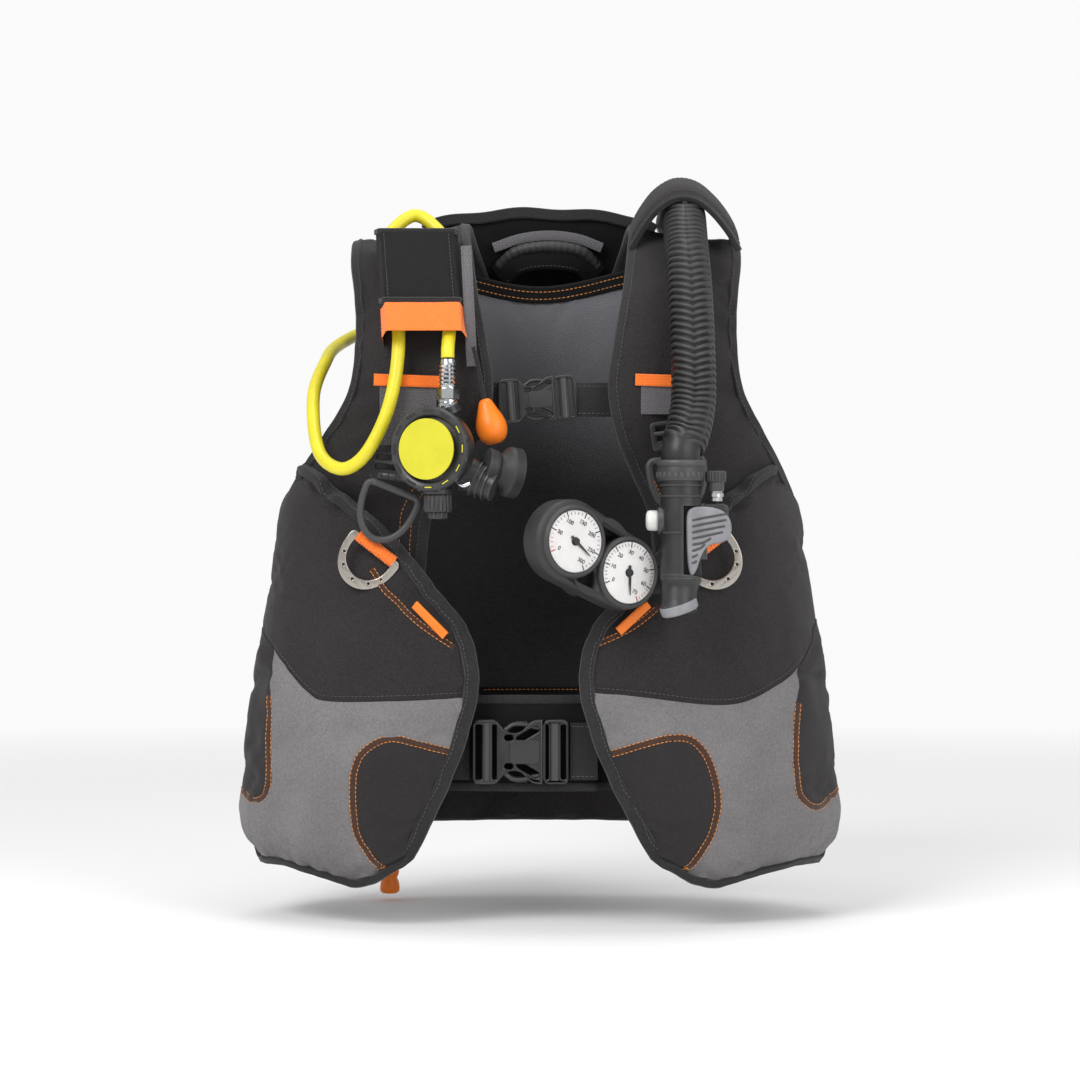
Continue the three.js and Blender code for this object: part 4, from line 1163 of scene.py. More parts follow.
def side_release(strap_name, x, z, turn, scale):
    """A side-release buckle: socket with thumb scoops and a slotted end, and a forked tongue."""
    name = strap_name + "_buckle"
    top = [(-36, 27), (-24, 27), (-20, 25.5), (-15, 20), (-10, 16.8), (-5, 16), (0, 17.5), (4, 21), (8, 25),
           (12, 26.6), (18.2, 27)]
    bend = [tuple(p) for p in spline(top[1:-1], 26)]
    upper = [(-40, 20), (-39.6, 24), (-38.4, 26.2), (-36, 27), *bend, (18.2, 27)]
    outline = (mirrored(upper) + upper)[::-1]
    slots = [moved(rounded(6, 46, 1.5), -35.6, 0), moved(rounded(3.6, 46, 1.5), -22.2, 0)]
    ovals = [oval(-11.5, 12.0, -9.0, 12.0, 2.4), oval(-1, 11, 12.5, 19, 2.8)]
    holes = slots + ovals + [mirrored(o) for o in ovals]
    _, _, mid = node_box(name + "_female")
    at = facing(x, mid[1], z, turn, scale)
    shape = Shape().add(plate(outline, holes, BUCKLE_THICK, 1.5, 3), 0, at)
    shape.add(plate(rounded(25, 20, 4), [], 2.0, 0.7, 2), 0, at @ put(3, 0, BUCKLE_THICK / 2))
    shape.add(bar([-28.7, -24, 1.6], [-28.7, 24, 1.6], 4.2, 16), 0, at)
    shape.piece(name + "_socket", plastic, "vest", [name + "_female"], "plastic", sharp=45)

    ends = [moved(rounded(3.4, 46, 1.4), 21.6, 0), moved(rounded(4.2, 46, 1.6), 35.6, 0)]
    shape = Shape().add(plate(moved(rounded(21, 54, 4.5), 29.5, 0), ends, BUCKLE_THICK - 1, 1.5, 3), 0, at)
    shape.add(bar([28.6, -24, 1.4], [28.6, 24, 1.4], 4.6, 16), 0, at)
    for k in (-1, 1):
        arm = spline([(20, 19 * k, 0), (10, 21 * k, 0), (1, 23.2 * k, 0), (-7, 22.6 * k, 0),
                      (-13, 18.5 * k, 0)], 30)
        shape.add(tube(arm, 2.3, 12, squash=(1.5, 1)), 0, at)
        for i in range(4):
            shape.add(bar([-3 + 2.4 * i, 25.2 * k, -3.4], [-3 + 2.4 * i, 25.2 * k, 3.4], 0.55, 8), 0, at)
    shape.add(block(26, 7, 4, 0.8), 0, at @ put(6, 0, 0))
    shape.piece(name + "_tongue", plastic, strap_name + "_male", [name + "_male"], "plastic", sharp=45)


side_release("waist", -16, -196, 0, (1, 1, 1))
side_release("sternum", -2, 101, -4, (63 / BUCKLE_LONG, 38 / BUCKLE_HIGH, 8.5 / BUCKLE_THICK))

# The straps that the buckles hold: a joint and its travel for each that moves.
RELEASE = {"waist_male": ("waist_release", 22), "sternum_male": ("sternum_release", 20)}
for node, body, width in (("waist_strap_left", "waist_male", 48), ("sternum_strap_left", "sternum_male", 29),
                          ("sternum_strap_right", "vest", 29)):
    lo, hi, mid = node_box(node)
    ends = [(lo[0], mid[1], mid[2]), (mid[0], mid[1] - 0.4, mid[2]), (hi[0], mid[1], mid[2])]
    web = strap(node + "_web", ends, [FRONT] * 3, width, hi[1] - lo[1], black_web, body, [node],
                (-width / 2 + 3, width / 2 - 3))
    # The left straps, whose buckle can be drawn out, each get a mesh of their own.
    if body in RELEASE:
        joint, travel = RELEASE[body]
        tuple(np.array(ends[0]) * MM)
        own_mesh(web)
lo, hi, mid = node_box("waist_strap_right")
path = skin(np.linspace(-15, -42, 30) * RAD, np.full(30, mid[2]), 26.5)
shape = Shape().add(sweep(path, outward(path), strap_profile(hi[2] - lo[2], 2.2)))
shape.piece("waist_strap_right_web", black_web, "vest", ["waist_strap_right"], "webbing")

# Shoulder adjusters: an orange tab, grey webbing and a ladder buckle.
for side, name in NAMES.items():
    lo, hi, mid = node_box(name + "_shoulder_strap")
    width = hi[0] - lo[0]
    front = [(mid[0], lo[1] + 1.2, hi[2]), (mid[0], lo[1] + 1.0, mid[2]), (mid[0], lo[1] + 1.2, lo[2])]
    strap(name + "_shoulder_web", front, [FRONT] * 3, width, 2.2, grey_web, "vest",
          [name + "_shoulder_strap"])
    tab = [(mid[0] - width * 0.6, lo[1] - 1.0, hi[2] + 5), (mid[0], lo[1] - 1.6, hi[2] + 4),
           (mid[0] + width * 0.6, lo[1] - 1.0, hi[2] + 3)]
    strap(name + "_shoulder_tab", tab, [FRONT] * 3, 10, 2.4, orange_web, rows=(-3.4, 3.4), sewn=orange_web)
    _, _, mid = node_box(name + "_shoulder_buckle")
    holes = [moved(rounded(34, 4.2, 1.2), 0, 6.4), moved(rounded(34, 4.2, 1.2), 0, -1.4)]
    at = facing(*mid, -8 * side)
    shape = Shape().add(plate(rounded(44, 25, 4), holes, 4.6, 1.2, 3), 0, at)
    shape.add(bar([-19, 2.5, 1.6], [19, 2.5, 1.6], 2.0, 14), 0, at)
    shape.add(block(30, 5.5, 3.2, 1.0), 0, at @ put(0, -9, 2.0))
    for i in range(5):
        shape.add(bar([-12 + 6 * i, -11, 3.7], [-12 + 6 * i, -7, 3.7], 0.6, 8), 0, at)
    shape.piece(name + "_ladder_buckle", plastic, "vest", [name + "_shoulder_buckle"], "plastic", sharp=45)


# ---------------------------------------------------------------- rings
def d_shape(width, drop, corner=5.0):
    """A D lying on its side: flat along the top at height 0, round below."""
    w = width / 2
    bends = [(corner * math.sin(a), -corner + corner * math.cos(a))
             for a in np.linspace(0.3, math.pi / 2, 5)]
    points = [(-w + corner, 0), (w - corner, 0)] + [(w - corner + x, y) for x, y in bends]
    for a in np.linspace(0, math.pi, 26)[1:-1]:
        points.append((w * math.cos(a), -corner - (drop - corner) * math.sin(a) ** 0.85))
    return points + [(-w + corner - x, y) for x, y in reversed(bends)]


for side, centre, tilt in ((-1, (-122, -276.5, 24), 22), (1, (114, -268, 50), 5)):
    name = NAMES[side]
    flat = d_shape(46, 44)
    loop = spline([(x, 0, y) for x, y in flat + flat[:1]], 120)
    shape = Shape().add(tube(loop, 2.6, 14, up=(0, 1, 0), squash=(1.0, 1.15)), 0,
                        put(*centre, ry=-side * tilt))
    shape.piece(name + "_plastic_ring_loop", dark_grey, name + "_plastic_ring", [name + "_plastic_d_ring"],
                "grey_plastic", sharp=60)

SLEEVE_HALF = 19     # half the length of the webbing sleeve that holds a steel ring
for side, centre in ((-1, (-138, -266.8, -25)), (1, (138, -270, -25))):
    name = NAMES[side]
    place = put(*centre, ry=-side * 38)
    outline = [(x, y + 2.2) for x, y in d_shape(48 + 3, 36 + 4.4, 5)]
    inner = [(x, y - 2.6) for x, y in d_shape(48 - 10, 36 - 9.5, 4)][::-1]
    dots = []
    for a in (25, 52, 90, 128, 155):
        dots.append(circle(1.15, 10, 21.6 * math.cos(a * RAD), -6 - 26.4 * math.sin(a * RAD) ** 0.9))
    Shape().add(plate(outline, [inner, *dots], 2.4, 0.7, 3), 0, place @ FACING).piece(
        name + "_steel_ring_plate", steel, name + "_steel_ring", [name + "_steel_d_ring"], "steel", sharp=50)
    # The folded webbing sleeve that holds the ring, with a rib at every thread.
    ribs = [(5.3 + 0.28 * math.cos(math.pi * k / 2), SLEEVE_HALF * (k / 30 - 1)) for k in range(61)]
    profile = [(3.15, -SLEEVE_HALF), *ribs, (3.15, SLEEVE_HALF), (3.15, -SLEEVE_HALF)]
    Shape().add(lathe(profile, 28), 0, place @ put(ry=90)).piece(
        name + "_ring_webbing", orange_web, "vest", [name + "_ring_sleeve"], "orange", sharp=60)


# ---------------------------------------------------------------- inflator hose and its flange
# The ribbed hose runs from the shoulder elbow over the yoke and down to the inflator, as one piece.
HOSE_PATH = [(125, -56, 270), (125, -74, 271), (125, -110, 273), (125, -150, 271), (125, -185, 262),
             (125, -203, 251), (125.3, -225, 231), (126, -240, 216), (127, -256, 190), (128, -272, 150),
             (128, -288, 100), (122, -305, 70), (116.4, -314, 57), (116, -315, 47)]
HOSE_RADIUS, HOSE_PITCH = 18.8, 6.1
CHEVRON = 8.0        # how far the middle of each rib dips


def chevron_hose(s, a):
    """Raised ribs that dip in a V on the front of the hose."""
    dip = CHEVRON * np.clip(1 - np.arccos(np.cos(a)) / 1.1, 0, 1)
    phase = ((s - dip) / HOSE_PITCH) % 1
    rib = ease(np.clip(phase / 0.22, 0, 1)) * (1 - ease(np.clip((phase - 0.6) / 0.3, 0, 1)))
    smooth = ease(s / 9) * ease((s.max() - s - 9) / 9)
    return HOSE_RADIUS - 2.6 + 2.7 * rib * smooth


hose_line = spline(HOSE_PATH, 760)
hose = Shape().add(tube(hose_line, chevron_hose, 48))
hose_piece = hose.piece("inflator_hose", hose_rubber, None, (), "rubber", sharp=180)
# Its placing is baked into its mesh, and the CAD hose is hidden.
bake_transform(hose_piece)
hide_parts("corrugated_hose")

ELBOW = [(125, -44, 160), (125, -30, 166), (125, -21, 196), (125, -27, 236), (125, -44, 262),
         (125, -62, 270.5)]
elbow_line = spline(ELBOW, 90)
shape = Shape().add(tube(elbow_line, lambda s, a: 15 + 0.8 * (np.sin(s * 0.9) > 0.6), 36))
flange = [(0, 3), (25, 3), (25.6, 1.5), (25, -4), (21, -5.5), (17, -5.5), (16, -9), (0, -9)]
shape.add(lathe(flange, 48), 0, put(125, -44, 158, rx=90))
for a in np.arange(0, 360, 45) * RAD:
    spot = put(125 + 21 * math.cos(a), -38.5, 158 + 21 * math.sin(a), rx=-90)
    shape.add(lathe([(0, 0), (2.2, 0), (2.2, 1.4), (1.6, 1.9), (0, 1.9)], 12), 0, spot)
shape.add(bar([125, -56, 270], [125, -70, 271], 19.6, 40))
shape.piece("shoulder_elbow", satin, "vest", ["shoulder_hose_run"], "rubber", sharp=45)

# Padded strap over the hose at the shoulder. It follows the hose down at its front edge.
OVER_ARCH = [(81, 251), (90, 267), (101, 282), (113, 291), (124, 293.5), (137, 290), (150, 279), (162, 263),
             (169, 248)]
OVER_BACK, OVER_FRONT, OVER_THICK = -146, -203, 5.5


def hose_height(y):
    return np.interp(-y, -hose_line[:, 1], hose_line[:, 2])


def over_pad(lift):
    """The pad as a grid: across the arch, then from its back edge to its front edge."""
    arch = spline(OVER_ARCH, 57)
    out = unit(np.stack([-np.gradient(arch[:, 1]), np.gradient(arch[:, 0])], -1))
    u, v = grid(56, 24)
    y = lerp(OVER_BACK, OVER_FRONT, v)
    drop = hose_height(y) - hose_height(-165)
    edge = ease(np.minimum(v, 1 - v) / 0.12) * ease(np.minimum(u, 1 - u) / 0.06)
    high = lift * lerp(0.45, 1, edge)
    spread = 1 + 0.04 * ease(v) * np.abs(2 * u - 1)
    x = 125 + (arch[:, 0] - 125 + out[:, 0] * high) * spread
    return np.stack([x, y, arch[:, 1] + out[:, 1] * high + drop], -1)


front, rear = over_pad(OVER_THICK - 1.0), over_pad(-1.0)
front = rough_cloth(front, 0.6, 26, 8)
shape = Shape().add(closed_sheet(front, rear))
normal = normals_of(front)
normal = np.where((normal[..., 2] < 0)[..., None], -normal, normal)
for row in (2, -3):
    stitches(shape, front[row], normal[row], mat=1, lift=0.3, width=0.5)
for row in (0, -1):
    rim = (front[row] + rear[row]) / 2
    shape.add(sweep(rim, normal[row], strap_profile(5, 5.0)), 2)
shape.piece("hose_over_pad", [nylon, black_thread, binding_tape], "vest", ["hose_over_strap"], "nylon",
            sharp=60)

# ---------------------------------------------------------------- inflator
AXIS_X, AXIS_Y = 116, -318       # the upright axis of the barrel
BARREL = put(AXIS_X, AXIS_Y, 0)
CUFF = put(AXIS_X, AXIS_Y + 2, 0)
LEVER_BED = -2.6                 # the front of the bed that the thumb lever sinks into
POCKET_END = -8.0                # the bottom of the pocket that the push button sinks into


def knurled(radius, low, high, ridges, depth, rounding=1.0):
    """A grip ring with upright ridges, about Z."""
    verts, faces = lathe([(0, low), (radius - rounding, low), (radius, low + rounding),
                          (radius, high - rounding), (radius - rounding, high), (0, high)], ridges * 6)
    angle = np.arctan2(verts[:, 1], verts[:, 0])
    r = np.linalg.norm(verts[:, :2], axis=1)
    wave = np.where(r > radius - 0.2, 1 - depth / radius * (np.cos(angle * ridges) > 0.2), 1)
    verts[:, :2] *= wave[:, None]
    return verts, faces


def recessed(verts, faces):
    """Sinks a bed for the thumb lever and a pocket for the push button into a turned part of the barrel."""
    x, y, z = verts.T
    bed = (x > 2.6) & (np.abs(z + 19.4) < 29) & (y < LEVER_BED)
    pocket = (x < 0) & (np.abs(y) < 8.2) & (np.abs(z + 2) < 10.4)
    return np.stack([np.where(pocket, POCKET_END, x), np.where(bed, LEVER_BED, y), z], -1), faces


shape = Shape()
cuff = [(0, 30), (17.6, 30), (19.2, 31), (19.8, 33), (19.8, 40), (19.2, 42), (19.8, 43), (19.8, 46.5),
        (18.8, 47.8), (0, 47.8)]
shape.add(lathe(cuff, 64), 1, CUFF)
for a in range(0, 360, 15):
    shape.add(block(1.6, 3.0, 4.4, 0.4), 1, CUFF @ put(z=35.5, rz=a) @ put(x=19.6))
wall = [(16.8 + 0.2 * math.cos(z * 0.13), z) for z in range(31, -50, -1)]
barrel = [(0, 34), (15, 34), (17, 32), *wall, (17.2, -50), (0, -50)]
shape.add(recessed(*lathe(barrel, 72)), 0, BARREL)
mouth_path = spline([(116, -318, -48), (115.2, -319, -56), (114.4, -321, -66), (114, -323, -76)], 24)
shape.add(tube(mouth_path, lambda s, a: 17.2 - 2.6 * ease(s / 12) + 0.6 * ease((s - 22) / 5), 40))
lip = put(114.2, -322.6, -73) @ put(ry=-18) @ put(rx=8)
lip_ring = [(14.6, -4.5), (15.7, -3.4), (15.9, 2.6), (15.2, 3.6), (12, 3.6), (12, -4.5), (14.6, -4.5)]
shape.add(lathe(lip_ring, 44), 2, lip)
boss = [(0, 0), (9.4, 0), (9.4, 14), (8.6, 16), (7.4, 16), (7.2, 3), (0, 3)]
shape.add(lathe(boss, 40), 0, put(AXIS_X - 3, AXIS_Y, -2, ry=-90, scale=(1.25, 1, 1)))
shape.add(plate(rounded(22, 24, 5), [], 11, 2, 3), 0, facing(144.5, -314.5, 0))
shape.add(bar([132, -314, 12], [132, -314, -34], 6))
for z in (27, 18, -12):
    band = [(17.0, -0.9), (17.8, -0.4), (17.8, 0.4), (17.0, 0.9), (16.0, 0), (17.0, -0.9)]
    shape.add(recessed(*lathe([(r, z + h) for r, h in band], 72)), 0, BARREL)
shape.piece("inflator_barrel", [satin, dark_grey, grey_plastic], "inflator", ["inflator_body"], "plastic",
            sharp=40)

# The air connector: a knurled sleeve on a chrome plug.
_, _, mid = node_box("quick_connect_nipple")
at = put(145, mid[1], 0)
plug = [(0, 14), (5.6, 14), (5.6, 17), (6.6, 17.5), (6.6, 20.5), (5.6, 21), (5.6, 22.2), (0, 22.2)]
shape = Shape().add(knurled(8.6, 29.5, 39, 18, 0.8), 0, at)
shape.add(lathe([(0, 22), (6.4, 22), (6.8, 23), (6.8, 29.6), (0, 29.6)], 32), 0, at)
shape.add(lathe(plug, 32), 1, at)
shape.piece("air_connector", [satin, chrome], "inflator", ["quick_connect_nipple"], "plastic", sharp=35)

# The inflate lever: a long thumb plate, rounded at the top right and pointed at the bottom left. Its grooves
# are thin dark strips laid on it, painted shade where each groove falls dark.
edge = [(123.4, -47), (121.0, -36), (119.9, -10), (120.2, 2), (123, 7.5), (130, 9.4), (142, 8.6), (151, 5),
        (156, -2), (157, -10), (154.5, -17), (148, -20.5), (140.5, -22), (135, -26), (131.5, -33),
        (128.5, -42), (125.6, -46.6)]
outline = [tuple(p) for p in spline(edge, 70, closed=True)][:-1][::-1]
flat = [(x - 139, z + 19) for x, z in outline]
shape = Shape().add(plate(flat, [], 9, 2.2, 4), 1, facing(139, -328.6, -19))
# Painted shade: each groove is a thin dark strip on the plate, not a cut.
for k in range(6):
    z = 3.5 - k * 5.0
    right = 153 - 0.35 * k * k if k < 4 else 140 - (k - 4) * 5
    groove = [(124.8, -333.1, z - 5.4), (min(134, right - 4), -333.2, z - 3.4), (right, -333.0, z)]
    shape.add(tube(spline(groove, 20), 0.95, 10))
for k in range(3):
    groove = spline([(124.6, -333.0, -27 - 5 * k), (127.4, -333.1, -26 - 5 * k),
                     (130.4 - 1.2 * k, -332.9, -24.8 - 5 * k)], 12)
    shape.add(tube(groove, 0.9, 10))
shape.piece("inflate_thumb_lever", [dark_grey, grey_plastic], "inflate_lever", ["inflate_lever"],
            "grey_plastic", sharp=40)

lo, hi, mid = node_box("deflate_button")
push = [(0, 0), (5.6, 0), (6.8, 1.6), (6.8, 7.6), (6.2, 9.8), (4.4, 11.0), (0, 11.4)]
shape = Shape().add(lathe(push, 36), 0, put(hi[0], mid[1], mid[2], ry=-90, scale=(1.25, 1, 0.95)))
shape.piece("deflate_push_button", white_plastic, "deflate_button", ["deflate_button"], "white_plastic",
            sharp=45)

# ---------------------------------------------------------------- yellow hose
OCTOPUS = [(-30, 14, 215), (-95, 6, 205), (-150, -20, 180), (-182, -80, 158), (-190, -140, 138),
           (-196, -195, 105), (-188, -242, 58), (-168, -264, 42), (-148, -274, 52), (-131, -275, 82),
           (-122, -272, 115), (-119, -263, 150), (-122, -250, 182), (-130, -234, 214), (-132, -212, 240),
           (-108, -197, 262.5), (-83, -206, 243), (-77, -228, 222), (-75, -250, 190), (-76, -269, 160),
           (-77, -284, 142), (-77, -286, 134)]
octo = spline(OCTOPUS, 480)
shape = Shape().add(tube(octo, lambda s, a: 5.6 + 0.05 * np.sin(s * 0.8) * np.cos(a * 3), 24))
at = aimed(octo[0] - octo[4], octo[0])
shape.add(lathe([(0, -24), (7.4, -24), (7.6, -22), (7.6, -6), (7.0, -5), (0, -5)], 36), 1, at)
shape.add(lathe([(0, -6), (9.0, -6), (9.4, -5), (9.4, 3), (8.8, 4), (0, 4)], 6), 1, at)
shape.add(lathe([(0, 3), (5, 3), (5, 8), (4.4, 8.8), (0, 8.8)], 28), 1, at)
shape.piece("octopus_hose_skin", [yellow_rubber, chrome], "vest", ["octopus_hose"], "yellow_rubber",
            sharp=40)

# The chrome fitting: crimped sleeve, hexagon nut and swivel.
at = aimed((0, 1, 39.5), (-77, -287, 92.5))
waves = [(6.9 + 0.5 * math.cos(k * 1.57), 18 + k * 0.85) for k in range(22)]
crimp = [(0, 17.5), (7.2, 17.5), *waves, (6.2, 40), (0, 40)]
shape = Shape().add(lathe(crimp, 40), 0, at)
shape.add(lathe([(0, 6), (8.4, 6), (9.6, 7), (9.6, 15.5), (8.4, 16.5), (0, 16.5)], 6), 0, at)
shape.add(lathe([(0, 0), (7.4, 0), (8, 1), (8, 3.2), (7.2, 3.8), (8, 4.4), (8, 6.4), (0, 6.4)], 40), 0, at)
shape.add(lathe([(0, 16.4), (6.2, 16.4), (6.2, 17.8), (0, 17.8)], 32), 0, at)
shape.piece("hose_crimp_fitting", chrome, "vest", ["octopus_hose_fitting"], "chrome", sharp=30)


# ---------------------------------------------------------------- second-stage regulator
# Local frame: X across, Y into the chest, Z up, turned 25 degrees so that it faces the wearer's right.
REG = put(-84, -298, 57, rz=-25)


shape = Shape()
case = [(0, 14.5), (16, 14.5), (24, 12.5), (30, 7), (32.6, 0), (33, -8), (33, -13.5), (31, -14.5),
        (0, -14.5)]
shape.add(lathe([(r, -h) for r, h in case][::-1], 72), 0, REG @ FACING)
ring = [(27.6, 14.0), (34, 14.0), (35.2, 15), (35.2, 18), (34, 19.6), (29.6, 19.6), (27.8, 18.2),
        (27.6, 14.0)]
shape.add(lathe(ring, 84), 0, REG @ FACING)
# The ring's slots are dark blocks, painted shade standing in for the dark inside each opening; yellow bars
# in some are the sleeve seen through them.
for a in range(0, 360, 30):
    slot = REG @ FACING @ put(rz=a) @ put(31.6, 0, 19.3)
    shape.add(block(3.0, 10, 1.2, 0.5), 1, slot)
    if a in (0, 30, 270, 300, 330):
        shape.add(block(1.5, 7, 1.5, 0.4), 3, slot)
for a in range(15, 360, 30):
    grip = REG @ FACING @ put(rz=a) @ put(35, 0, 16.8)
    shape.add(block(1.6, 4.0, 3.6, 0.5), 0, grip)
# The exhaust tee with its vanes, the hose neck, the knob's stem and the airflow lever.
tee = spline([(20, 10, -20), (32, 14, -26), (44, 16, -31)], 20)
shape.add(tube(tee, lambda s, a: 15 - 2.5 * ease(s / 26), 32, squash=(1, 0.85)), 0, REG)
for k in range(3):
    shape.add(tube(tee[6 + 4 * k:8 + 4 * k], 15.6 - 0.6 * k, 32, squash=(1, 0.85)), 0, REG)
shape.add(tube(spline([(10, 2, 30), (8, 0, 36)], 8), 9.4, 28), 0, REG)
shape.add(tube(spline([(0, -2, -28), (0, -2, -37)], 8), 11.6, 28), 0, REG)
shape.add(lathe([(0, -1), (11.6, -1), (12.2, 0), (12.2, 2), (11.6, 3), (0, 3)], 36), 0,
          REG @ put(0, -2, -36))
lever = spline([(20, -8, -26), (27, -9, -30), (33, -8, -28)], 16)
shape.add(tube(lever, lambda s, a: 1.7 + 0.4 * np.sin(s / 5), 14), 2, REG)
for a in np.arange(0, 360, 60) * RAD:
    bolt = REG @ put(y=16, rx=-90) @ put(22 * math.cos(a), 22 * math.sin(a))
    shape.add(lathe([(0, 0), (2.0, 0), (2.0, 0.8), (1.2, 1.3), (0, 1.3)], 14), 0, bolt)
shape.piece("regulator_shell", [plastic, ink, chrome, yellow_plastic], "vest", ["regulator_case"], "plastic",
            sharp=38)

cover = [(0, -0.8), (12, -0.8), (21, 0.0), (24.4, 0.8), (25.2, 1.6), (25.2, 3.0), (0, 3.0)]
at = REG @ put(y=-20.6) @ FACING @ put(scale=(1, 1, -1))
shape = Shape().add(lathe([(r, -h) for r, h in cover][::-1], 72), 0, at)
bead = [(20.0, 0.2), (21.0, 0.9), (21.6, 0.2), (20.8, -0.4), (20.0, 0.2)]
shape.add(lathe(bead, 64), 0, REG @ put(y=-21.2) @ FACING)
for r in (6.0, 10.6, 15.2):
    ripple = [(r - 0.7, 0.5), (r, 1.1), (r + 0.7, 0.5), (r, 0.1), (r - 0.7, 0.5)]
    shape.add(lathe(ripple, 56), 0, REG @ put(y=-20.9) @ FACING)
shape.piece("purge_disc", [yellow_plastic, ink], "purge_cover", ["purge_cover"], "yellow_plastic", sharp=40)

shape = Shape().add(knurled(11.6, -52, -37, 18, 0.9, 1.4), 0, REG @ put(0, -2, 0))
shape.add(knurled(8.2, -57.5, -51.5, 14, 0.6, 1.0), 0, REG @ put(0, -2, 0))
shape.piece("adjuster_knob", plastic, "adjusting_knob", ["cracking_adjust_knob"], "plastic", sharp=35)

shape = Shape()
neck = spline([(36, 13, -13), (43, 21, -16), (49, 29, -18), (54, 36, -19.5)], 40)
shape.add(tube(neck, lambda s, a: 12.0 + 5.0 * ease((s - 14) / 8) - 1.6 * np.exp(-((s - 12) / 2.4) ** 2), 36,
               squash=(1.25, 1)), 0, REG)
for k in range(2):
    tab = spline([(52, 34, -12 - 14 * k), (58, 40, -12 - 14 * k)], 8)
    shape.add(tube(tab, 3.2, 14, squash=(1, 0.7)), 0, REG)
shape.piece("regulator_bite_piece", rubber, "vest", ["regulator_mouthpiece"], "rubber", sharp=50)

# ---------------------------------------------------------------- gauge console
# Local frame: X along the console, Y into the chest, Z up; it is turned to lie along the arm of the vest.
CONSOLE = put(42, -324, -32) @ put(rz=33) @ put(ry=26)
DIAL_X = 29.5                        # how far each dial is from the console's middle
DIAL_START, DIAL_SWEEP = 225, 270    # where the numbers begin and how far round they go, in degrees


shape = Shape()
half_turn = np.linspace(-math.pi / 2, math.pi / 2, 24)
outline = [(-DIAL_X + 34.5 * math.cos(a), 34.5 * math.sin(a)) for a in half_turn + math.pi]
outline += [(DIAL_X + 31 * math.cos(a), 31 * math.sin(a)) for a in half_turn]
cuts = [[(-5, 27), (1, 12), (10, 25)], [(-10, -25), (-1, -12), (5, -27)]]
cuts = [[tuple(p) for p in spline(c, 18, closed=True)][:-1] for c in cuts]
shape.add(plate(outline, cuts, 26, 5.5, 5), 0, CONSOLE @ put(y=-1) @ FACING)
for x in (-DIAL_X, DIAL_X):
    rim = [(25.4, 12), (29.6, 12), (30.2, 14), (29.4, 17), (27.4, 18.4), (26.4, 17.8), (25.4, 16.4),
           (25.4, 12)]
    shape.add(lathe(rim, 84), 0, CONSOLE @ put(x, 0, 0) @ FACING)
cone = spline([(46, 0, 4), (56, 0, 7), (66, 0, 10), (75, 0, 12)], 26)
shape.add(tube(cone, lambda s, a: 13.2 - 4.2 * ease(s / 29), 36), 0, CONSOLE)
for k in range(4):
    r = 10.5 - 0.7 * k
    ripple = [(r, -0.8), (r + 1.2, 0), (r, 0.8), (r - 1.5, 0), (r, -0.8)]
    shape.add(lathe(ripple, 32), 0, CONSOLE @ put(*cone[15 + 3 * k], ry=75))
shape.piece("console_rubber_boot", rubber, "console", ["console_boot"], "rubber", sharp=60)


def dial(name, x, count, step, red):
    """A gauge: case, printed face, ticks, numbers and glass. The numbers run clockwise from 0."""
    face = CONSOLE @ put(x) @ FACING
    case = [(0, 6.6), (26.0, 6.6), (26.6, 7.2), (26.6, 16.0), (25.0, 16.4), (0, 16.4)]
    shape = Shape().add(lathe(case, 84), 0, face)
    for k in range(count * 5 + 1):
        long, wide = (4.6, 0.9) if k % 5 == 0 else (2.4, 0.4)
        at = face @ put(rz=DIAL_START - DIAL_SWEEP * k / (count * 5)) @ put(22.8, 0, 16.6)
        shape.add(block(long, wide, 0.3, 0.1), 2 if red(k / 5) else 1, at)
    for a in range(0, 360, 6):
        shape.add(block(0.6, 0.25, 0.3, 0.08), 1, face @ put(rz=a) @ put(25.2, 0, 16.5))
    shape.add(lathe([(0, 16.3), (3.6, 16.3), (3.6, 16.9), (0, 16.9)], 24), 1, face)
    shape.piece(name + "_face", [dial_paint, ink, red_plastic], "console", [name], "dial", sharp=40)
    for k in range(count + 1):
        a = (DIAL_START - DIAL_SWEEP * k / count) * RAD
        font = bpy.data.curves.new(name + "_number", "FONT")
        font.body = str(k * step)
        font.size = 5.0 * MM
        font.align_x, font.align_y = "CENTER", "CENTER"
        font.extrude = 0.12 * MM
        ob = new_object(f"{name}_number_{k}", font)
        at = face @ put(16.8 * math.cos(a), 16.8 * math.sin(a), 16.7)
        ob.matrix_world = Matrix.Diagonal((MM, MM, MM, 1)) @ at @ Matrix.Diagonal((1 / MM, 1 / MM, 1 / MM,
                                                                                   1))
        font.materials.append(ink)
        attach(ob, "console")
    glass = [(0, 17.8), (20, 17.7), (24.6, 17.4), (25.4, 16.9), (25.4, 16.7), (0, 16.75)]
    Shape().add(lathe(glass, 64), 0, face).piece(name + "_glass", lens, "console", slot="dial", sharp=60)


dial("pressure_gauge", -DIAL_X, 6, 50, lambda number: number < 1)
dial("depth_gauge", DIAL_X, 7, 10, lambda number: number > 6)


def needle(name, x, turn):
    at = CONSOLE @ put(x) @ FACING @ put(z=18.2, rz=-turn)
    blade = [(-1.1, -6), (1.1, -6), (0.9, 8), (0.25, 18.5), (-0.25, 18.5), (-0.9, 8)][::-1]
    shape = Shape().add(plate(blade, [], 0.7, 0.12, 1), 0, at)
    shape.add(lathe([(0, -0.5), (3.0, -0.5), (3.2, 0), (2.8, 0.9), (0, 1.0)], 28), 0, at)
    shape.piece(name + "_pointer", ink, name, [name], "plastic", sharp=40)


needle("pressure_needle", -DIAL_X, 106)
needle("depth_needle", DIAL_X, 154)
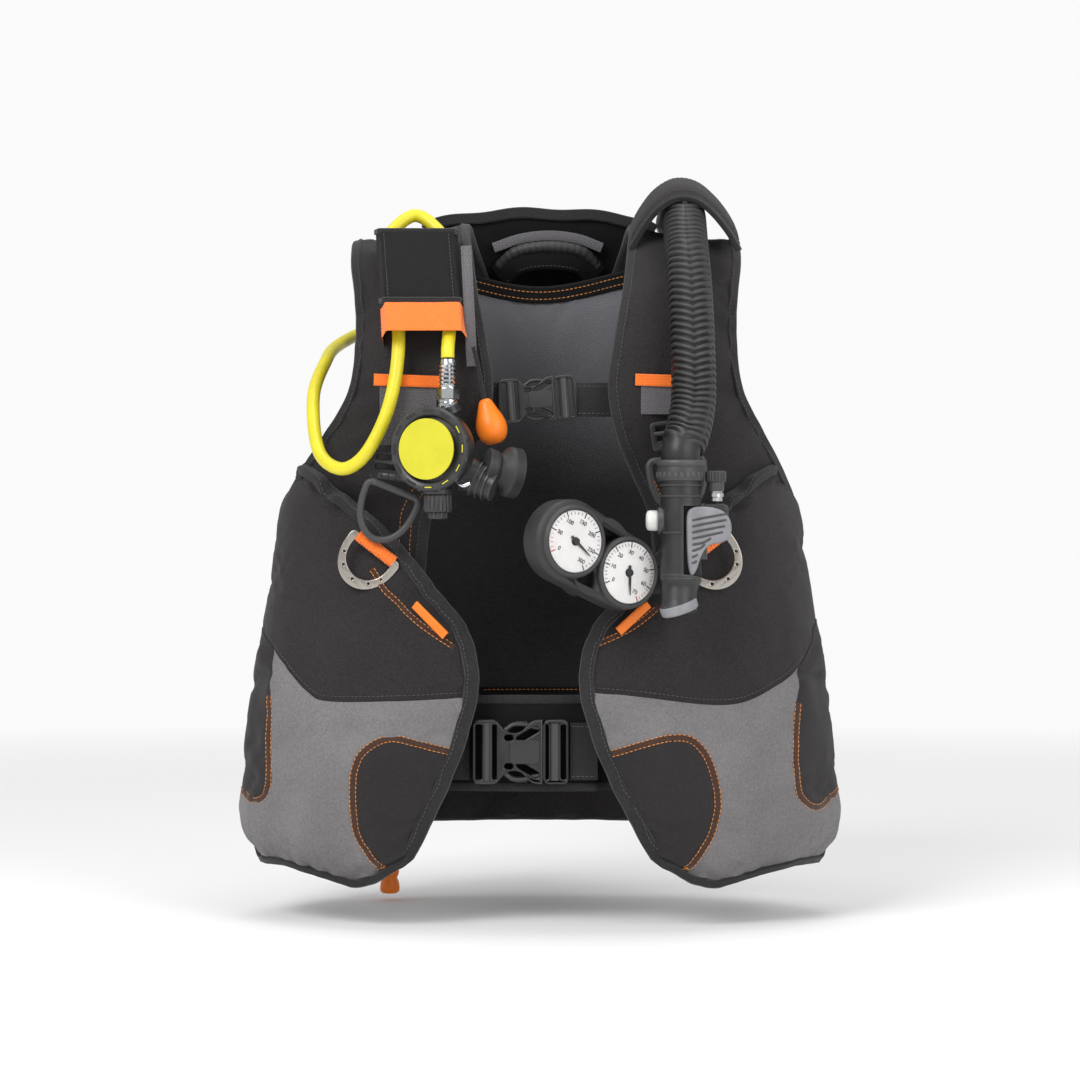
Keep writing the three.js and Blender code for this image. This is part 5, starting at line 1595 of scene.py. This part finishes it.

# The console's hose starts inside the boot; its placing is baked into its mesh.
CONSOLE_HOSE = [(98, -287.5, -53), (104, -283.6, -55), (110, -281.4, -53), (113.6, -280.8, -43),
                (114, -278, -24), (112, -268, -6), (116, -248, 0), (128, -222, -22), (150, -200, -55),
                (174, -170, -78), (186, -130, -82)]
shape = Shape().add(tube(spline(CONSOLE_HOSE, 260), lambda s, a: 5.4 + 0.18 * np.sin(s * 2.2), 20))
hose = shape.piece("console_hose_skin", hose_rubber, None, ["console_hose"], "rubber", sharp=180)
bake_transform(hose)

# ---------------------------------------------------------------- dump valves and their pulls
def valve(name, node, radius):
    """A round dump valve, its cap facing straight out of the back."""
    _, _, mid = node_box(node)
    at = aimed(outward(mid), mid)
    body = [(0, -7), (radius, -7), (radius + 0.6, -5.5), (radius, -2.5), (radius - 4, 0), (radius - 5, 3),
            (radius - 7, 5.6), (0, 6.4)]
    shape = Shape().add(lathe(body, 64), 0, at)
    for a in np.arange(0, 360, 18):
        shape.add(block(5.6, 1.8, 1.4, 0.4), 0, at @ put(rz=a) @ put(radius - 9, 0, 5.0))
    shape.add(lathe([(0, 6), (5, 6), (5, 7.4), (4, 8), (0, 8)], 28), 1, at)
    shape.piece(name, [satin, dark_grey], "vest", [node], "plastic", sharp=38)


valve("shoulder_dump_cap", "shoulder_dump_valve", 26)
valve("rear_dump_cap", "rear_dump_valve", 25)


def cord(name, body, node, line, radius, lay, sides):
    """A cord of three strands along a line; lay is how far they stand out."""
    skin_of_cord = tube(line, lambda s, a: radius + lay * np.sin(a * 3 + s * 1.8), sides)
    Shape().add(skin_of_cord).piece(name, black_web, body, [node], "webbing", sharp=180)


bulb = [(0, -20), (5, -19.6), (9.5, -16.5), (12.4, -11), (13, -5), (11.8, 1), (9.4, 7), (7.4, 12), (5.8, 16),
        (3.6, 18.6), (0, 19.2)]
bulb = [(max(0, r), h) for r, h in spline(bulb, 40)]
shape = Shape().add(lathe(bulb, 48), 0, put(-42, -271, 82, ry=-14))
shape.piece("shoulder_pull_bulb", orange_rubber, "shoulder_pull", (), "orange_rubber", sharp=180)
line = spline([(-46, -271, 98), (-49, -272, 112), (-52, -274, 128), (-56, -276, 144)], 50)
cord("shoulder_pull_cord", "shoulder_pull", "shoulder_dump_pull", line, 1.75, 0.25, 16)
knob = [(0, -340), (6.4, -340), (8.6, -338.4), (9, -335), (8.4, -330), (6.6, -326), (8, -322.6), (8.6, -320),
        (7, -318), (0, -317)]
shape = Shape().add(lathe(knob, 44), 0, put(-137, -52, 0))
shape.piece("rear_pull_knob", orange_rubber, "rear_pull", (), "orange_rubber", sharp=60)
line = spline([(-137, -52, -320), (-137.4, -52, -306), (-136.8, -52, -290), (-137, -52, -258)], 44)
cord("rear_pull_cord", "rear_pull", "rear_dump_pull", line, 1.55, 0.2, 14)

# Zip pulls: a moulded orange tag over each zip, with a groove down its middle.
TAG_CLEARANCE = 6.2
TAG = [(-4, -0.6), (-3.4, -1.2), (3.4, -1.2), (4, -0.6), (4, 0.5), (3.2, 1.2), (1.6, 1.6), (0, 1.1),
       (-1.6, 1.6), (-3.2, 1.2), (-4, 0.5)]
for side, middle, half in ((-1, (-92, -85), (-13, 13)), (1, (78, -83), (-12.5, -11.5))):
    spots = []
    for k in np.linspace(-1, 1, 9):
        x, z = middle[0] + half[0] * k, middle[1] + half[1] * k
        spots.append(skin(math.asin(x / (table(HALF_WIDTH, z) + TAG_CLEARANCE)), z, -TAG_CLEARANCE))
    path = spline(spots, 40)
    name = NAMES[side]
    Shape().add(sweep(path, outward(path), TAG)).piece(
        name + "_zip_tag", orange_rubber, name + "_zip", [name + "_zip_pull"], "orange", sharp=50)


# ---------------------------------------------------------------- carrying handle, tank band, back plate
handle = spline([(-36, -74, 230), (-20, -84, 242), (8, -87, 246), (36, -84, 242), (50, -74, 230)], 120)
grip = tube(handle, lambda s, a: 5.2 + 0.35 * np.abs(np.sin(s * 0.55)), 24, squash=(1.0, 1.2))
shape = Shape().add(grip)
shape.piece("carry_grip", rubber, "vest", ["carry_handle"], "rubber", sharp=60)
# The handle's wide padded band hangs from the grip. The grey strip above it is painted shade: it stands in
# for the backdrop seen in shade through the gap by the handle.
band = handle + np.array([0, 1.5, -9.0])
pad = [(-11, -2), (-9, -3.6), (9, -3.6), (11, -2), (11, 2), (9, 3.6), (-9, 3.6), (-11, 2)]
shape = Shape().add(sweep(band, frontward(len(band)), pad))
for off in (-8, 8):
    stitches(shape, band, frontward(len(band)), mat=1, off=off, lift=3.8, width=0.5)
shape.piece("handle_band", [lining, black_thread], "vest", slot="nylon", sharp=60)
# Painted shade: a grey strip where the shaded backdrop shows through the gap.
strip = spline([(-42, -79, 246), (-18, -80, 254), (8, -80, 257), (34, -80, 254), (56, -79, 246)], 60)
shape = Shape().add(sweep(strip, frontward(60), strap_profile(9, 1.4)))
shape.piece("handle_gap_painted_shade", grey_web, "vest", slot="grey_nylon", sharp=60)


def ribbed(count, height):
    """Alternate steps out and in, for the ribs of thick webbing."""
    return (height * np.cos(np.arange(count) * math.pi))[:, None]


# Sewn band and ribbed webbing across the inside of the pad, above the waist buckle.
def across_pad(z, count):
    """A level path across the inside of the back pad, with its normals."""
    found = []
    for a in np.linspace(140, 220, count) * RAD:
        found.append(pad_skin.toward((0, BODY_Y, z), (math.sin(a), -math.cos(a), 0)))
    return np.array([f[0] for f in found]), unit(np.array([f[1] for f in found]))


path, n = across_pad(-157, 90)
shape = Shape().add(sweep(path, n, strap_profile(13, 2.4)))
for off in (-4.6, 4.6):
    stitches(shape, path, n, mat=1, off=off, lift=1.4, width=0.7)
shape.piece("pad_waist_band", [lining, thread], "vest", slot="nylon", sharp=60)
path, n = across_pad(-173, 260)
shape = Shape().add(sweep(path + n * ribbed(len(path), 0.5), n, strap_profile(17, 2.4)))
shape.piece("pad_waist_webbing", black_web, "vest", slot="webbing", sharp=30)

# Grey webbing strip beside the sleeve pad, down to the shoulder adjuster.
strip = [(-63, -236, 232), (-61, -256, 200), (-59, -268, 165), (-57, -270, 128)]
strap("sleeve_side_web", strip, [(0, -0.9, 0.3), (0, -1, 0.1), (0, -1, 0), (0, -1, 0)], 9, 2.0, grey_web,
      rows=(-3, 3))

# Brown double stitching down the lower inner edge of each yoke.
for side, name in NAMES.items():
    shape = Shape()
    for column in (3, 5):
        line = yoke_grids[side][:, column]
        path = spline(line[line[:, 2] < 75][-26:], 70)
        stitches(shape, path, unit(np.tile([0.25 * side, -1.0, 0], (70, 1))), lift=0.5, width=0.7)
    shape.piece(name + "_yoke_seam", thread, "vest", slot="nylon", sharp=60)


def dress(node, material):
    """Gives a CAD node whose shape is right its real material and softer edges."""
    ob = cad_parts[node]
    ob.data.materials.clear()
    ob.data.materials.append(material)
    # A small bevel rounds the edges of the shape that is shown.
    bevel = ob.modifiers.new("edges", "BEVEL")
    bevel.width = 0.6 * MM
    bevel.segments = 2
    bevel.limit_method = "ANGLE"
    bevel.angle_limit = 40 * RAD


# Padded mount between the air cell and the plate, so that the plate sits on cloth.
lo, hi, mid = node_box("back_plate")
u, v = grid(22, 34)
x, z = lerp(-78, 78, u), lerp(mid[2] - 142, mid[2] + 142, v)
front = np.array([back_skin.toward((a, 120, b), FRONT)[0] for a, b in zip(x.ravel(), z.ravel())])
front = front.reshape(*u.shape, 3)
full = fullness(u, v, 0.14)
rear = np.stack([x, lerp(front[..., 1] + 2.5, np.maximum(front[..., 1] + 4, lo[1] + 0.6), full), z], -1)
front = front - np.array([0, 4.0, 0])
shape = Shape().add(closed_sheet(finer(front, 2), finer(rear, 2)))
shape.piece("plate_mount_pad", [nylon], "vest", slot="nylon", sharp=60)

# Four bolts with washers hold the plate.
shape = Shape()
bolt = [(0, -1), (7.5, -1), (7.5, 0.8), (6.8, 1.4), (4.4, 1.4), (4.4, 3.4), (3.6, 4.2), (0, 4.2)]
for x in (-62, 62):
    for z in (-130, 110):
        shape.add(lathe(bolt, 30), 0, put(x, -4.0, z, rx=-90))
shape.piece("plate_bolts", steel, "vest", slot="steel", sharp=40)

# The tank band: through both slots of the plate and round the cylinder, ribbed, with sewn edges.
BAND_MID, BAND_RADIUS, TANK_Y = -20, 94.3, 92
ends = [(x, -16.7) for x in (0, 24, 48, 64)] + [(71, -15), (73, -9), (74.2, 0), (76, 12), (80.5, 32)]
arc = [(BAND_RADIUS * math.sin(a), TANK_Y - BAND_RADIUS * math.cos(a))
       for a in np.linspace(66, 176, 18) * RAD]
half = ends + arc
whole = [(-x, y) for x, y in half[::-1]][:-1] + half
loop = spline([(x, y, BAND_MID) for x, y in whole], 420)
away = loop - np.array([0, TANK_Y - 20, BAND_MID])
tangent = unit(np.gradient(loop, axis=0))
n = np.stack([tangent[:, 1], -tangent[:, 0], np.zeros(len(loop))], -1)
n = np.where(((n * away).sum(-1) < 0)[:, None], -n, n)
shape = Shape().add(sweep(loop + n * ribbed(len(loop), 0.12), n, strap_profile(50, 2.5)))
for off in (-22, 22):
    stitches(shape, loop, n, mat=1, off=off, lift=1.35, width=0.6, height=0.4)
shape.piece("tank_band_web", [black_web, black_thread], "vest", ["tank_band"], "webbing", sharp=60)

# Thumb ridges on the cam lever.
lo, hi, mid = node_box("cam_lever")
shape = Shape()
for k in range(6):
    x = hi[0] - 5 - 3.2 * k
    shape.add(bar([x, hi[1] - 0.2, mid[2] - 13], [x, hi[1] - 0.2, mid[2] + 13], 1.1, 10))
shape.piece("cam_lever_ridges", plastic, "cam_lever", slot="plastic", sharp=60)

for node, material in (("back_plate", satin), ("cam_buckle_frame", plastic), ("cam_lever", plastic)):
    dress(node, material)


# ---------------------------------------------------------------- stage, light and camera
FLOOR = -0.346          # the floor's level, just below the rear pull
FLOOR_REACH = 45
SKY_LIGHT = 0.55        # how brightly the sky lights the object
SKY_SEEN = 0.96         # how bright the sky looks to the camera
SUBJECT = (0, -0.15, 0)


def stage_mesh(name, verts, faces, mat):
    me = bpy.data.meshes.new(name)
    me.from_pydata(verts, [], faces)
    me.materials.append(mat)
    me.shade_smooth()
    new_object(name, me)


def backdrop_paint():
    """A pale matt floor that fades into the sky with distance, so that no horizon shows."""
    n = Nodes("backdrop")
    n.bump(n.noise(40), 0.05, 0.2)
    mat = n.done((0.93, 0.93, 0.93), 0.9, Specular_IOR_Level=0.1)
    far = n.new("ShaderNodeVectorMath", operation="LENGTH")
    n.link(n.where, far.inputs[0])
    glow = n.new("ShaderNodeEmission")
    glow.inputs["Strength"].default_value = SKY_SEEN
    mix = n.new("ShaderNodeMixShader")
    n.link(n.ramp(far.outputs["Value"], 0.7, 2.6), mix.inputs[0])
    n.link(n.bsdf.outputs[0], mix.inputs[1])
    n.link(glow.outputs[0], mix.inputs[2])
    n.link(mix.outputs[0], n.tree.nodes["Material Output"].inputs["Surface"])
    return mat


corners = [(x * FLOOR_REACH, y * FLOOR_REACH, FLOOR) for x, y in ((-1, -1), (1, -1), (1, 1), (-1, 1))]
stage_mesh("floor", corners, [(0, 1, 2, 3)], backdrop_paint())


def area_light(name, place, size, power):
    data = bpy.data.lights.new(name, "AREA")
    data.shape = "RECTANGLE"
    data.size, data.size_y = size
    data.energy = power
    ob = new_object(name, data)
    ob.location = place
    ob.rotation_euler = (Vector(SUBJECT) - Vector(place)).to_track_quat("-Z", "Y").to_euler()


area_light("key", (-1.3, -2.2, 1.7), (1.3, 1.3), 50)
area_light("fill", (1.6, -2.0, 0.9), (1.6, 1.6), 27)
area_light("top", (0, -0.2, 2.2), (1.6, 1.2), 18)
world = bpy.data.worlds.new("world")
world.use_nodes = True
# The sky lights the object softly, and shows as plain white to the camera.
background = world.node_tree.nodes["Background"]
background.inputs["Color"].default_value = (1, 1, 1, 1)
ray = world.node_tree.nodes.new("ShaderNodeLightPath")
strength = world.node_tree.nodes.new("ShaderNodeMapRange")
strength.inputs["To Min"].default_value = SKY_LIGHT
strength.inputs["To Max"].default_value = SKY_SEEN
world.node_tree.links.new(ray.outputs["Is Camera Ray"], strength.inputs["Value"])
world.node_tree.links.new(strength.outputs[0], background.inputs["Strength"])
bpy.context.scene.world = world
bpy.context.scene.view_settings.view_transform = "Standard"

CAMERA_DISTANCE, CAMERA_HEIGHT = 2.79, -0.018
camera = new_object("camera", bpy.data.cameras.new("camera"))
camera.data.lens = 100
camera.data.sensor_width = 36
camera.data.clip_end = 50
camera.location = (0, -CAMERA_DISTANCE, CAMERA_HEIGHT)
camera.rotation_euler = (90 * RAD, 0, 0)
bpy.context.scene.camera = camera
